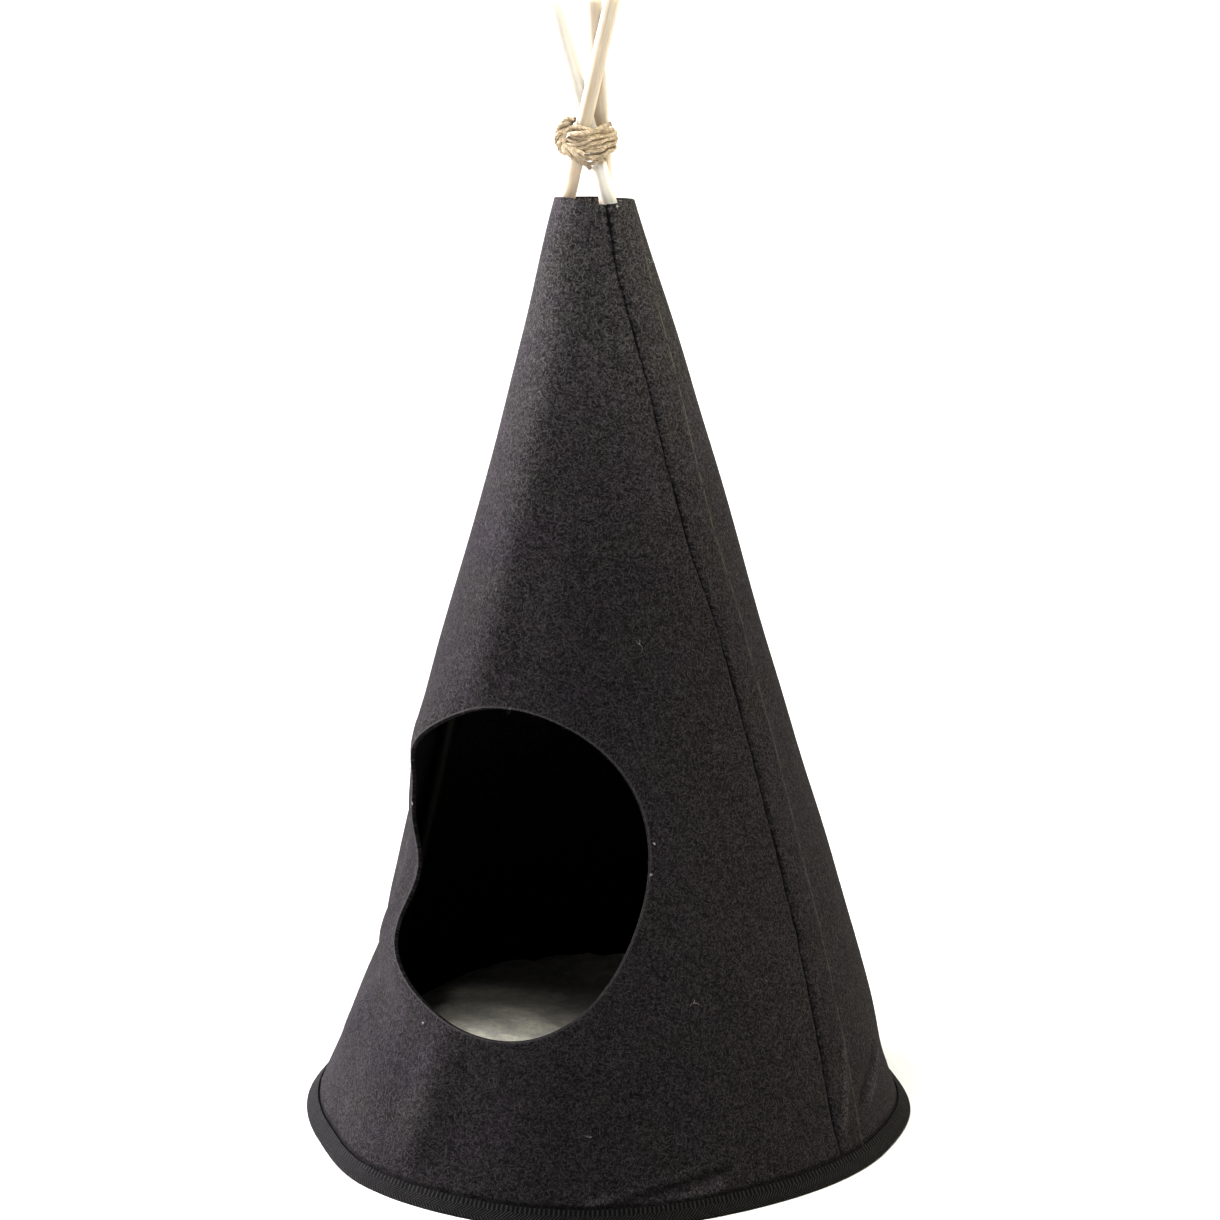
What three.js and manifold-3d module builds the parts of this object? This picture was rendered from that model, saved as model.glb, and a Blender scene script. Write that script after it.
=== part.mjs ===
// Cat teepee: a felt cone with a round doorway stands over three wooden poles, which are lashed
// with jute twine where they cross. The foot of the cone is bound with tape to a felt floor, and
// a plush cushion lies inside.
// Millimetres, +Z up. The origin is the middle of the foot on the ground, the doorway faces -Y,
// and an azimuth counts in degrees from the doorway towards +X.
import * as THREE from "three";
import Module from "manifold-3d";

const DEG = Math.PI / 180;
const FELT = 3; // thickness of wall and floor
const GAP = 0.3; // left between pieces that touch

// Wall: a straight cone, which would close at APEX_Z, cut off at WALL_TOP_Z and leaning a little
const FOOT_R = 216.8;
const APEX_Z = 772.7;
const WALL_TOP_Z = 670;
const TOP_LEAN = { x: -7.9, y: -4.2 };
const SIN_HALF = Math.sin(Math.atan2(FOOT_R, APEX_Z));
const COS_HALF = Math.cos(Math.atan2(FOOT_R, APEX_Z));

// Doorway: a circle cut by hand in the flat pattern, its middle DOOR_SLANT down the cloth from the
// apex. The cut wanders by these waves, counted from its lowest point towards +X.
const DOOR_SLANT = 569.6;
const DOOR_ASIDE = -6;
const DOOR_R = 113;
const DOOR_WAVES = [
  { count: 3, out: 2.4 },
  { count: 4, out: 2 },
];

// Foot: wall and floor lie in a folded tape that slopes down and out to the ground
const ROOT_R = 216.6;
const ROOT_Z = 11;
const FLANGE_SLOPE = 49;
const FLANGE_LENGTH = 12.6;
const TAPE = 1;
const FLANGE_GAP = 0.6;
const ROUND_COLUMNS = 72;
// The wall turns out into the flange over this height, and its folds run out by this height
const ROOT_TURN = { out: 2, height: 9 };
const FOLDS_FROM = 35;
// The floor lies flat on the ground and turns up into the flange
const FLOOR_UNDERSIDE = [
  { r: 0, z: 0 },
  { r: 203.2, z: 0 },
  { r: 207, z: 4.2 },
];
const FLOOR_TOP = [
  { r: 209.9, z: 9 },
  { r: 206.2, z: 6.6 },
  { r: 203, z: FELT },
  { r: 0, z: FELT },
];
const FOOT_OUTLINE = [
  { azimuth: -150, out: 0 },
  { azimuth: -70, out: 2 },
  { azimuth: -42, out: 0 },
  { azimuth: -20, out: 7 },
  { azimuth: 8, out: 4 },
  { azimuth: 58, out: -9 },
  { azimuth: 92, out: -4 },
  { azimuth: 112, out: -1 },
  { azimuth: 130, out: -4 },
  { azimuth: 170, out: -1 },
];

// Heights of the wall's rows, and the stretch of rows and columns that holds the doorway
const WALL_ROWS = [
  16, 27, 43, 66, 98, 130, 162, 194, 226, 258, 290, 322, 355, 392, 432, 474, 516, 558, 600, 638,
];
const DOOR_ROWS = { first: 3, last: 13 };
const DOOR_COLUMNS = { first: 66, count: 23 };
const DOOR_RINGS = [0, 0.12, 0.32, 0.62, 1];

// The wall's columns run from knot to knot. A knot stays at an azimuth, or lies beside the seam by
// a distance along the cloth.
const COLUMN_KNOTS = [
  { azimuth: -30, columns: 20 },
  { besideSeam: -3, columns: 1 },
  { besideSeam: 0, columns: 1 },
  { besideSeam: 3, columns: 2 },
  { besideSeam: 26, columns: 1 },
  { besideSeam: 31, columns: 19 },
  { azimuth: 190, columns: 28 },
];

// The one seam, by height, and the relief of the allowance pressed to its right
const SEAM = [
  { z: 0, azimuth: 79 },
  { z: 170, azimuth: 81 },
  { z: 300, azimuth: 79 },
  { z: 380, azimuth: 76 },
  { z: 440, azimuth: 69 },
  { z: 550, azimuth: 61 },
  { z: 670, azimuth: 40 },
];
const SEAM_RELIEF = [
  { beside: -3, out: 0 },
  { beside: 0, out: -1.6 },
  { beside: 3, out: 1 },
  { beside: 26, out: 1 },
  { beside: 31, out: 0 },
];

// Soft folds of the wall, each a swell (out > 0) or a hollow, by middle, half span and depth
const FOLDS = [
  { name: "flared door edge", azimuth: -27, z: 295, spanAzimuth: 14.5, spanZ: 21.5, out: 18.5 },
  { name: "door edge pushed in", azimuth: -45.5, z: 193, spanAzimuth: 8.6, spanZ: 26, out: -19 },
  { name: "hollow beside the doorway", azimuth: -66, z: 164, spanAzimuth: 8.6, spanZ: 72, out: -16 },
  { name: "hollow under the doorway", azimuth: -48, z: 113, spanAzimuth: 19, spanZ: 16, out: -12.5 },
  { name: "rim over the left pole", azimuth: -50, z: 670, spanAzimuth: 25, spanZ: 30, out: 1.8 },
  { name: "rim over the back pole", azimuth: -170, z: 670, spanAzimuth: 25, spanZ: 30, out: 1.5 },
  { name: "left neck hollow", azimuth: -62, z: 500, spanAzimuth: 30, spanZ: 50, out: -2.5 },
  { name: "left shoulder swell", azimuth: -62, z: 330, spanAzimuth: 22, spanZ: 40, out: 1.5 },
  { name: "right swell", azimuth: 117, z: 150, spanAzimuth: 22, spanZ: 110, out: 4 },
  { name: "right neck swell", azimuth: 119, z: 480, spanAzimuth: 30, spanZ: 60, out: 1.5 },
  { name: "right rim hollow", azimuth: 119, z: 670, spanAzimuth: 40, spanZ: 40, out: -2.5 },
  { name: "right foot hollow", azimuth: 122, z: 45, spanAzimuth: 22, spanZ: 18, out: -3 },
  { name: "right foot swell", azimuth: 94, z: 40, spanAzimuth: 7, spanZ: 45, out: 2 },
];
const TOP_EDGE = [
  { azimuth: -180, lift: 0 },
  { azimuth: -62, lift: 2 },
  { azimuth: 28, lift: 0 },
  { azimuth: 40, lift: -2 },
  { azimuth: 46, lift: 1 },
  { azimuth: 119, lift: 1.5 },
  { azimuth: 180, lift: 0 },
];

// Poles: each stands on the floor inside the foot and passes the lashing at TIE_Z
const POLE_R = 5.3;
const POLE_LENGTH = 836;
const POLE_FOOT_R = 200;
const POLE_SIDES = 14;
const POLE_END_RINGS = 4;
const TIE_Z = 710;
const POLES = [
  { name: "pole_right", footAzimuth: 97.6, tieX: -8.5, tieY: -8.5 },
  { name: "pole_left", footAzimuth: -88.8, tieX: -13.0, tieY: -19.8 },
  { name: "pole_back", footAzimuth: -162.8, tieX: -8.3, tieY: 4.6 },
];

// Lashing: turns of twine side by side, low at the left and high at the right of the front
const TWINE_R = 2;
const TWINE_TURNS = 7;
const TURN_PITCH = 3.9;
const TURN_TILT = 3;
const TURN_VALLEY = 2.6; // how far the dip between two turns lies outside the wood
const FRONT_AZIMUTH = 28; // the side of the tie that shows its knot at the left
const LASHING_COLUMNS = 30;
// Paths are across, towards the front and up from the middle of the tie
const KNOT_PATH = [
  [-13, 1, -10],
  [-17, 5, -9],
  [-21, 6, -3],
  [-20, 3, 5],
  [-15, 5, 10],
  [-13, 10, 6],
  [-17, 11, 0],
  [-22, 6, -4],
  [-20, 0, -8],
];
const UPPER_END_PATH = [
  [-15, 3, 3],
  [-16, 4, 10],
  [-13, 4, 15],
];
const RIGHT_END_PATH = [
  [4, 4, 6],
  [8, 5, 10],
  [9, 4, 14],
];

// Cushion: crowned, with its sides drawn in to a seam
const CUSHION_COLUMNS = 40;
const CUSHION_SEAM_R = 188;
const CUSHION_PROFILE = [
  { r: 0, z: 0 },
  { r: 150, z: 0 },
  { r: 174, z: 5 },
  { r: 185, z: 15 },
  { r: CUSHION_SEAM_R, z: 27 },
  { r: CUSHION_SEAM_R - 2.5, z: 32 },
  { r: CUSHION_SEAM_R - 1, z: 38 },
  { r: 180, z: 50 },
  { r: 158, z: 60 },
  { r: 115, z: 66 },
  { r: 60, z: 69 },
  { r: 0, z: 70 },
];
const CUSHION_PRESS = { span: 8, in: 9 }; // dent at each pole: half span in degrees and depth
const CUSHION_PUCKERS = [
  { count: 9, out: 1.2, turn: 90 },
  { count: 14, out: 0.8, turn: 147 },
];
const CUSHION_DIMPLES = [
  { x: -70, y: 20, span: 42, out: -5 },
  { x: 10, y: -50, span: 38, out: -4 },
  { x: 60, y: 70, span: 50, out: -5 },
  { x: -30, y: 110, span: 30, out: 3 },
];

// Value of a table's column at a place along its key, straight between rows and level past its ends
function lookUp(table, key, value, at) {
  const above = table.findIndex((row) => row[key] >= at);
  if (above === 0) return table[0][value];
  if (above < 0) return table[table.length - 1][value];
  const low = table[above - 1];
  const high = table[above];
  return THREE.MathUtils.mapLinear(at, low[key], high[key], low[value], high[value]);
}

function turnBetween(from, to) {
  return ((((to - from) % 360) + 540) % 360) - 180;
}

function bell(offset, span) {
  return Math.exp(-0.5 * (offset / span) ** 2);
}

function coneRadius(z) {
  return FOOT_R * (1 - z / APEX_Z);
}

// How far the foot's outline lies outside its circle, easing from row to row of FOOT_OUTLINE
function footShift(azimuth) {
  const first = FOOT_OUTLINE[0].azimuth;
  const turn = first + ((((azimuth - first) % 360) + 360) % 360);
  const rows = [...FOOT_OUTLINE, { azimuth: first + 360, out: FOOT_OUTLINE[0].out }];
  const next = rows.findIndex((row) => row.azimuth > turn);
  const low = rows[next - 1];
  const high = rows[next];
  const share = THREE.MathUtils.smoothstep(turn, low.azimuth, high.azimuth);
  return THREE.MathUtils.lerp(low.out, high.out, share);
}

function degreesAlong(distance, z) {
  return distance / coneRadius(z) / DEG;
}

function seamRelief(azimuth, z) {
  const beside = turnBetween(lookUp(SEAM, "z", "azimuth", z), azimuth) * DEG * coneRadius(z);
  return lookUp(SEAM_RELIEF, "beside", "out", beside);
}

function foldDepth(azimuth, z) {
  let out = seamRelief(azimuth, z);
  for (const fold of FOLDS) {
    const across = bell(turnBetween(fold.azimuth, azimuth), fold.spanAzimuth);
    out += fold.out * across * bell(z - fold.z, fold.spanZ);
  }
  return out;
}

// Point of the wall's outer skin. The foot's uneven outline fades out with height.
function wallPoint(azimuth, z) {
  const aboveRoot = Math.max(0, z - ROOT_Z);
  const rootTurn = ROOT_TURN.out * Math.exp(-aboveRoot / ROOT_TURN.height);
  const outline = footShift(azimuth) * (1 - aboveRoot / APEX_Z) ** 2;
  const folds = foldDepth(azimuth, z) * THREE.MathUtils.smoothstep(aboveRoot, 0, FOLDS_FROM);
  return onRing(azimuth, coneRadius(z) + rootTurn + outline + folds, z);
}

// Point at a radius about the wall's leaning axis
function onRing(azimuth, r, z) {
  const lean = z / WALL_TOP_Z;
  return new THREE.Vector3(
    TOP_LEAN.x * lean + r * Math.sin(azimuth * DEG),
    TOP_LEAN.y * lean - r * Math.cos(azimuth * DEG),
    z,
  );
}

// Both faces of the wall at a place: the inner one lies square to the slope of the outer one
function wallSkins(azimuth, z) {
  const degree = 1;
  const rise = 4;
  const outer = wallPoint(azimuth, z);
  const along = wallPoint(azimuth + degree, z).sub(wallPoint(azimuth - degree, z));
  const up = wallPoint(azimuth, z + rise).sub(wallPoint(azimuth, z - rise));
  const inner = outer.clone().addScaledVector(along.cross(up).normalize(), -FELT);
  return { outer, inner };
}

// Point of the flange's section: length down its slope, depth below its outer face, in [r, z]
function flange(length, depth) {
  const slope = FLANGE_SLOPE * DEG;
  return {
    r: ROOT_R + length * Math.cos(slope) - depth * Math.sin(slope),
    z: ROOT_Z - length * Math.sin(slope) - depth * Math.cos(slope),
  };
}

// Point of the flange's section at a depth below its outer face, down where it reaches a height
function flangeAtHeight(z, depth) {
  return flange((flange(0, depth).z - z) / Math.sin(FLANGE_SLOPE * DEG), depth);
}

// The wall's tail inside the folded tape: its root and its end, both faces
function tailSkins(azimuth, isRoot) {
  const outerDepth = TAPE + FLANGE_GAP;
  const innerDepth = outerDepth + FELT;
  const endZ = TAPE + FLANGE_GAP;
  const outer = isRoot ? flange(0, outerDepth) : flangeAtHeight(endZ, outerDepth);
  const inner = isRoot ? flange(0, innerDepth) : flangeAtHeight(endZ, innerDepth);
  return {
    outer: onRing(azimuth, outer.r + footShift(azimuth), outer.z),
    inner: onRing(azimuth, inner.r + footShift(azimuth), inner.z),
  };
}

function knotAzimuth(knot, z) {
  if ("azimuth" in knot) return knot.azimuth;
  return lookUp(SEAM, "z", "azimuth", z) + degreesAlong(knot.besideSeam, z);
}

function columnAzimuth(column, z) {
  const azimuths = COLUMN_KNOTS.map((knot) => knotAzimuth(knot, z));
  azimuths.push(azimuths[0] + 360);
  let first = 0;
  for (let k = 0; k < COLUMN_KNOTS.length; k += 1) {
    const { columns } = COLUMN_KNOTS[k];
    if (column < first + columns) {
      return THREE.MathUtils.lerp(azimuths[k], azimuths[k + 1], (column - first) / columns);
    }
    first += columns;
  }
  return azimuths[COLUMN_KNOTS.length];
}

// Flat pattern of the cone, with its apex at the origin and the doorway's side down -Y
function toPattern(azimuth, z) {
  const slant = (APEX_Z - z) / COS_HALF;
  const turn = turnBetween(0, azimuth) * DEG * SIN_HALF;
  return new THREE.Vector2(slant * Math.sin(turn), -slant * Math.cos(turn));
}

function fromPattern(point) {
  return {
    azimuth: Math.atan2(point.x, -point.y) / SIN_HALF / DEG,
    z: APEX_Z - point.length() * COS_HALF,
  };
}

function doorPointTowards(point) {
  const centre = new THREE.Vector2(DOOR_ASIDE, -DOOR_SLANT);
  const way = point.clone().sub(centre);
  const turn = Math.atan2(way.x, -way.y);
  const r = DOOR_WAVES.reduce((sum, wave) => sum + wave.out * Math.sin(wave.count * turn), DOOR_R);
  return way.setLength(r).add(centre);
}

// Collects both skins of a sheet of cloth and the faces between them
class Sheet {
  constructor() {
    this.outer = [];
    this.inner = [];
    this.faces = [];
    this.rims = [];
  }

  add(skins) {
    this.outer.push(skins.outer);
    this.inner.push(skins.inner);
    return this.outer.length - 1;
  }

  quad(a, b, c, d) {
    this.faces.push([a, b, c], [a, c, d]);
  }

  // A free edge, its points in the order that has the cloth on their right seen from outside
  rim(points) {
    points.forEach((point, i) => this.rims.push([point, points[(i + 1) % points.length]]));
  }

  geometry() {
    const count = this.outer.length;
    const index = [];
    for (const [a, b, c] of this.faces) {
      index.push(a, b, c, a + count, c + count, b + count);
    }
    for (const [a, b] of this.rims) {
      index.push(a, b, b + count, a, b + count, a + count);
    }
    const made = new THREE.BufferGeometry().setFromPoints([...this.outer, ...this.inner]);
    made.setIndex(index);
    made.computeVertexNormals();
    return made;
  }
}

// The loop of grid points round the doorway's stretch, counterclockwise seen from outside
function doorStretchLoop() {
  const { first, last } = DOOR_ROWS;
  const { first: left, count } = DOOR_COLUMNS;
  const loop = [];
  for (let i = 0; i < count; i += 1) loop.push({ row: first, column: left + i });
  for (let i = first; i < last; i += 1) loop.push({ row: i, column: left + count });
  for (let i = count; i > 0; i -= 1) loop.push({ row: last, column: left + i });
  for (let i = last; i > first; i -= 1) loop.push({ row: i, column: left });
  return loop.map(({ row, column }) => ({ row, column: column % ROUND_COLUMNS }));
}

function isInDoorStretch(row, column) {
  const right = (column - DOOR_COLUMNS.first + ROUND_COLUMNS) % ROUND_COLUMNS;
  return row >= DOOR_ROWS.first && row < DOOR_ROWS.last && right < DOOR_COLUMNS.count;
}

function wallRow(sheet, skinsAt) {
  return Array.from({ length: ROUND_COLUMNS }, (_, column) => sheet.add(skinsAt(column)));
}

function feltCone() {
  const sheet = new Sheet();
  const tail = [false, true].map((isRoot) =>
    wallRow(sheet, (column) => tailSkins(columnAzimuth(column, 0), isRoot)),
  );
  const rows = WALL_ROWS.map((z) => wallRow(sheet, (column) => wallSkins(columnAzimuth(column, z), z)));
  const top = wallRow(sheet, (column) => {
    const azimuth = columnAzimuth(column, WALL_TOP_Z);
    const lift = lookUp(TOP_EDGE, "azimuth", "lift", turnBetween(0, azimuth));
    return wallSkins(azimuth, WALL_TOP_Z + lift);
  });
  const levels = [...tail, ...rows, top];
  for (let i = 0; i + 1 < levels.length; i += 1) {
    for (let column = 0; column < ROUND_COLUMNS; column += 1) {
      if (isInDoorStretch(i - tail.length, column)) continue;
      const next = (column + 1) % ROUND_COLUMNS;
      sheet.quad(levels[i][column], levels[i][next], levels[i + 1][next], levels[i + 1][column]);
    }
  }
  sheet.rim([...levels[0]].reverse());
  sheet.rim(top);
  addDoorway(sheet, rows);
  return sheet.geometry();
}

// Rings of points from the doorway's edge out to the grid
function addDoorway(sheet, rows) {
  const loop = doorStretchLoop();
  const rings = DOOR_RINGS.map((share) =>
    loop.map(({ row, column }) => {
      if (share === 1) return rows[row][column];
      const z = WALL_ROWS[row];
      const corner = toPattern(columnAzimuth(column, z), z);
      const place = fromPattern(doorPointTowards(corner).lerp(corner, share));
      return sheet.add(wallSkins(place.azimuth, place.z));
    }),
  );
  for (let k = 0; k + 1 < rings.length; k += 1) {
    loop.forEach((_, i) => {
      const next = (i + 1) % loop.length;
      sheet.quad(rings[k + 1][i], rings[k + 1][next], rings[k][next], rings[k][i]);
    });
  }
  sheet.rim(rings[0]);
}

// A turned piece about +Z, whose points then move by reshape(azimuth, point)
function turned(profile, columns, reshape) {
  const outline = profile.map(({ r, z }) => new THREE.Vector2(r, z));
  const made = new THREE.LatheGeometry(outline, columns).rotateX(Math.PI / 2);
  const position = made.getAttribute("position");
  const point = new THREE.Vector3();
  for (let i = 0; i < position.count; i += 1) {
    point.fromBufferAttribute(position, i);
    const azimuth = Math.atan2(point.x, -point.y) / DEG;
    reshape(azimuth, point);
    position.setXYZ(i, point.x, point.y, point.z);
  }
  made.computeVertexNormals();
  return made;
}

function moveOut(point, distance) {
  const r = Math.hypot(point.x, point.y);
  if (r > 0) {
    point.x *= (r + distance) / r;
    point.y *= (r + distance) / r;
  }
}

// Moves a point of the foot's round pieces to the foot's oval and its lean
function toFoot(azimuth, point) {
  const r = Math.hypot(point.x, point.y);
  moveOut(point, footShift(azimuth) * THREE.MathUtils.smoothstep(r, 0.3 * ROOT_R, 0.9 * ROOT_R));
  point.x += (TOP_LEAN.x * point.z) / WALL_TOP_Z;
  point.y += (TOP_LEAN.y * point.z) / WALL_TOP_Z;
}

function basePanel() {
  const topDepth = TAPE + FELT + 2 * FLANGE_GAP;
  const bottomDepth = topDepth + FELT;
  const tailZ = TAPE + FLANGE_GAP;
  const profile = [
    ...FLOOR_UNDERSIDE,
    flange(0, bottomDepth),
    flangeAtHeight(tailZ, bottomDepth),
    flangeAtHeight(tailZ, topDepth),
    flange(0, topDepth),
    ...FLOOR_TOP,
  ];
  return turned(profile, ROUND_COLUMNS, toFoot);
}

function binding() {
  const innerDepth = 2 * TAPE + 2 * FELT + 3 * FLANGE_GAP;
  const endR = flange(FLANGE_LENGTH, 0).r;
  const profile = [
    flange(0, 0),
    flange(0, TAPE),
    flangeAtHeight(TAPE, TAPE),
    flangeAtHeight(TAPE, innerDepth - TAPE),
    flange(FLANGE_GAP, innerDepth - TAPE),
    flange(FLANGE_GAP, innerDepth),
    flangeAtHeight(0, innerDepth),
    { r: endR, z: 0 },
    { r: endR + 0.6 * TAPE, z: 0.7 * TAPE },
    flange(FLANGE_LENGTH, 0),
    flange(0, 0),
  ];
  return turned(profile, ROUND_COLUMNS, toFoot);
}

function cushionPuckers(azimuth) {
  const waves = CUSHION_PUCKERS.map((wave) => wave.out * Math.sin((wave.count * azimuth + wave.turn) * DEG));
  return waves.reduce((sum, wave) => sum + wave, 0);
}

// From 0 between the poles to 1 at a pole
function pressedByPoles(azimuth) {
  const presses = POLES.map((pole) => turnBetween(pole.footAzimuth, azimuth));
  return Math.max(...presses.map((away) => bell(away, CUSHION_PRESS.span)));
}

function cushion() {
  const profile = CUSHION_PROFILE.map(({ r, z }) => ({ r, z: z + FELT + GAP }));
  return turned(profile, CUSHION_COLUMNS, (azimuth, point) => {
    const onTop = THREE.MathUtils.smoothstep(point.z, 35, 60);
    const atSide = (Math.hypot(point.x, point.y) / CUSHION_SEAM_R) ** 6;
    moveOut(point, (cushionPuckers(azimuth) - CUSHION_PRESS.in * pressedByPoles(azimuth)) * atSide);
    for (const dimple of CUSHION_DIMPLES) {
      const away = Math.hypot(point.x - dimple.x, point.y - dimple.y);
      point.z += onTop * dimple.out * bell(away, dimple.span);
    }
  });
}

function poleFoot({ footAzimuth }) {
  const r = POLE_FOOT_R + footShift(footAzimuth);
  const azimuth = footAzimuth * DEG;
  return new THREE.Vector3(r * Math.sin(azimuth), -r * Math.cos(azimuth), FELT + GAP + POLE_R);
}

function poleDirection(pole) {
  return new THREE.Vector3(pole.tieX, pole.tieY, TIE_Z).sub(poleFoot(pole)).normalize();
}

// A rod along +Y with round ends, the middle of its lower end's rounding at the origin
function rod(radius) {
  const straight = POLE_LENGTH - 2 * POLE_R;
  const made = new THREE.CapsuleGeometry(radius, straight, POLE_END_RINGS, POLE_SIDES);
  return made.translate(0, straight / 2, 0);
}

function placeOnPole(mesh, pole) {
  mesh.position.copy(poleFoot(pole));
  mesh.quaternion.setFromUnitVectors(new THREE.Vector3(0, 1, 0), poleDirection(pole));
  mesh.updateMatrixWorld(true);
  return mesh;
}

// Middle of each pole's section at a height
function poleMiddles(z) {
  return POLES.map((pole) => {
    const foot = poleFoot(pole);
    const way = poleDirection(pole);
    return foot.addScaledVector(way, (z - foot.z) / way.z);
  });
}

// Point of a taut turn round the three poles, facing an azimuth, clear of the wood by a distance
function turnPoint(azimuth, z, clear) {
  const facing = new THREE.Vector3(Math.sin(azimuth * DEG), -Math.cos(azimuth * DEG), 0);
  const reaches = poleMiddles(z).map((middle) => ({ middle, reach: middle.dot(facing) }));
  const outermost = reaches.reduce((best, other) => (other.reach > best.reach ? other : best));
  return outermost.middle.addScaledVector(facing, POLE_R + clear);
}

function tieMiddle() {
  const sum = poleMiddles(TIE_Z).reduce((a, b) => a.add(b), new THREE.Vector3());
  return sum.divideScalar(POLES.length);
}

// The wound twine as one ridged body, filled between the poles
function turnsBody() {
  const half = (TWINE_TURNS * TURN_PITCH) / 2;
  const levels = [];
  for (let i = 0; i <= 2 * TWINE_TURNS; i += 1) {
    const isCrest = i % 2 === 1;
    levels.push({ up: -half + (i * TURN_PITCH) / 2, clear: isCrest ? 2 * TWINE_R : TURN_VALLEY });
  }
  const points = [];
  for (let c = 0; c < LASHING_COLUMNS; c += 1) {
    const azimuth = (360 * c) / LASHING_COLUMNS;
    const tilt = TURN_TILT * Math.sin((azimuth - FRONT_AZIMUTH) * DEG);
    for (const { up, clear } of levels) {
      points.push(turnPoint(azimuth, TIE_Z + up + tilt, clear));
    }
  }
  const low = points.push(tieMiddle().setZ(TIE_Z - half)) - 1;
  const high = points.push(tieMiddle().setZ(TIE_Z + half)) - 1;
  const index = [];
  for (let c = 0; c < LASHING_COLUMNS; c += 1) {
    const a = c * levels.length;
    const b = ((c + 1) % LASHING_COLUMNS) * levels.length;
    const last = levels.length - 1;
    for (let i = 0; i < last; i += 1) {
      index.push(a + i, b + i, b + i + 1, a + i, b + i + 1, a + i + 1);
    }
    index.push(low, b, a, high, a + last, b + last);
  }
  const made = new THREE.BufferGeometry().setFromPoints(points);
  made.setIndex(index);
  return made;
}

// A short stretch of twine along a path given from the middle of the tie
function twine(path) {
  const middle = tieMiddle();
  const across = new THREE.Vector3(Math.cos(FRONT_AZIMUTH * DEG), Math.sin(FRONT_AZIMUTH * DEG), 0);
  const front = new THREE.Vector3(Math.sin(FRONT_AZIMUTH * DEG), -Math.cos(FRONT_AZIMUTH * DEG), 0);
  const points = path.map(([x, y, z]) =>
    middle
      .clone()
      .addScaledVector(across, x)
      .addScaledVector(front, y)
      .add(new THREE.Vector3(0, 0, z)),
  );
  const section = new THREE.Shape().absarc(0, 0, TWINE_R, 0, 2 * Math.PI);
  return new THREE.ExtrudeGeometry(section, {
    steps: 4 * (path.length - 1),
    curveSegments: 6,
    extrudePath: new THREE.CatmullRomCurve3(points),
  });
}

const wasm = await Module();
wasm.setup();

function toSolid(geometry) {
  const flat = geometry.index ? geometry.toNonIndexed() : geometry;
  const mesh = new wasm.Mesh({
    numProp: 3,
    vertProperties: new Float32Array(flat.getAttribute("position").array),
    triVerts: Uint32Array.from({ length: flat.getAttribute("position").count }, (_, i) => i),
  });
  mesh.merge();
  return new wasm.Manifold(mesh);
}

function fromSolid(solid) {
  const mesh = solid.getMesh();
  const made = new THREE.BufferGeometry();
  made.setAttribute("position", new THREE.BufferAttribute(new Float32Array(mesh.vertProperties), 3));
  made.setIndex(new THREE.BufferAttribute(new Uint32Array(mesh.triVerts), 1));
  made.computeVertexNormals();
  return made;
}

function lashing() {
  const strands = [turnsBody(), ...[KNOT_PATH, UPPER_END_PATH, RIGHT_END_PATH].map(twine)];
  const wound = wasm.Manifold.union(strands.map(toSolid));
  const room = POLES.map((pole) => {
    const wood = placeOnPole(new THREE.Mesh(rod(POLE_R + GAP)), pole);
    return toSolid(wood.geometry.clone().applyMatrix4(wood.matrixWorld));
  });
  return fromSolid(wound.subtract(wasm.Manifold.union(room)));
}

function named(name, geometry, color, roughness) {
  const material = new THREE.MeshStandardMaterial({ color, roughness, metalness: 0 });
  const mesh = new THREE.Mesh(geometry, material);
  mesh.name = name;
  return mesh;
}

const FELT_COLOR = 0x34323a;
const TAPE_COLOR = 0x1d1c20;
const PLUSH_COLOR = 0xa9a5a0;
const WOOD_COLOR = 0xe3d5bd;
const TWINE_COLOR = 0xb99a72;

const group = new THREE.Group();
group.add(named("felt_cone", feltCone(), FELT_COLOR, 0.95));
group.add(named("base_panel", basePanel(), FELT_COLOR, 0.95));
group.add(named("binding", binding(), TAPE_COLOR, 0.85));
group.add(named("cushion", cushion(), PLUSH_COLOR, 0.9));
for (const pole of POLES) {
  group.add(placeOnPole(named(pole.name, rod(POLE_R), WOOD_COLOR, 0.6), pole));
}
group.add(named("lashing", lashing(), TWINE_COLOR, 0.9));

export default group;
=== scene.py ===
"""Looks of the cat teepee: felt wall, floor and foot tape, plush cushion, wooden poles and twine.

Metres in Blender. The tables repeat part.mjs and are in millimetres and degrees: the doorway faces
-Y, and an azimuth counts from the doorway towards +X.
"""

import bpy
import numpy as np
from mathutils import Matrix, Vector


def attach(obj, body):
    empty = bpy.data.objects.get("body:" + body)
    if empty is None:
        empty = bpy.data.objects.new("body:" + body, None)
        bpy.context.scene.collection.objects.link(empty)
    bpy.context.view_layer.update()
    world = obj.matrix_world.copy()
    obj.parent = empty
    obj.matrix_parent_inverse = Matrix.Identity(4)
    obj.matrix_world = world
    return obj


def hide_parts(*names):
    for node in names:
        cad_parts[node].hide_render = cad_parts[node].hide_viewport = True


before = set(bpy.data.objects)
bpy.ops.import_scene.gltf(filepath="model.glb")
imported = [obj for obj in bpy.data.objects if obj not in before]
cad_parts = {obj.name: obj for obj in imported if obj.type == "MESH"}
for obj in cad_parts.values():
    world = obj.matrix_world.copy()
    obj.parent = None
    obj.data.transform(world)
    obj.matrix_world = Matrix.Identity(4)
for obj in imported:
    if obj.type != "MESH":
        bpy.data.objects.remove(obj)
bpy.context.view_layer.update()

MM = 0.001
SCENE = bpy.context.scene

# Camera of the photograph
CAMERA_AZIMUTH = 28
CAMERA_PITCH = 13.66
CAMERA_AWAY = 2.05
CAMERA_HEIGHT = 0.875
FOCAL_PX = 2930
IMAGE_PX = 1220

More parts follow.
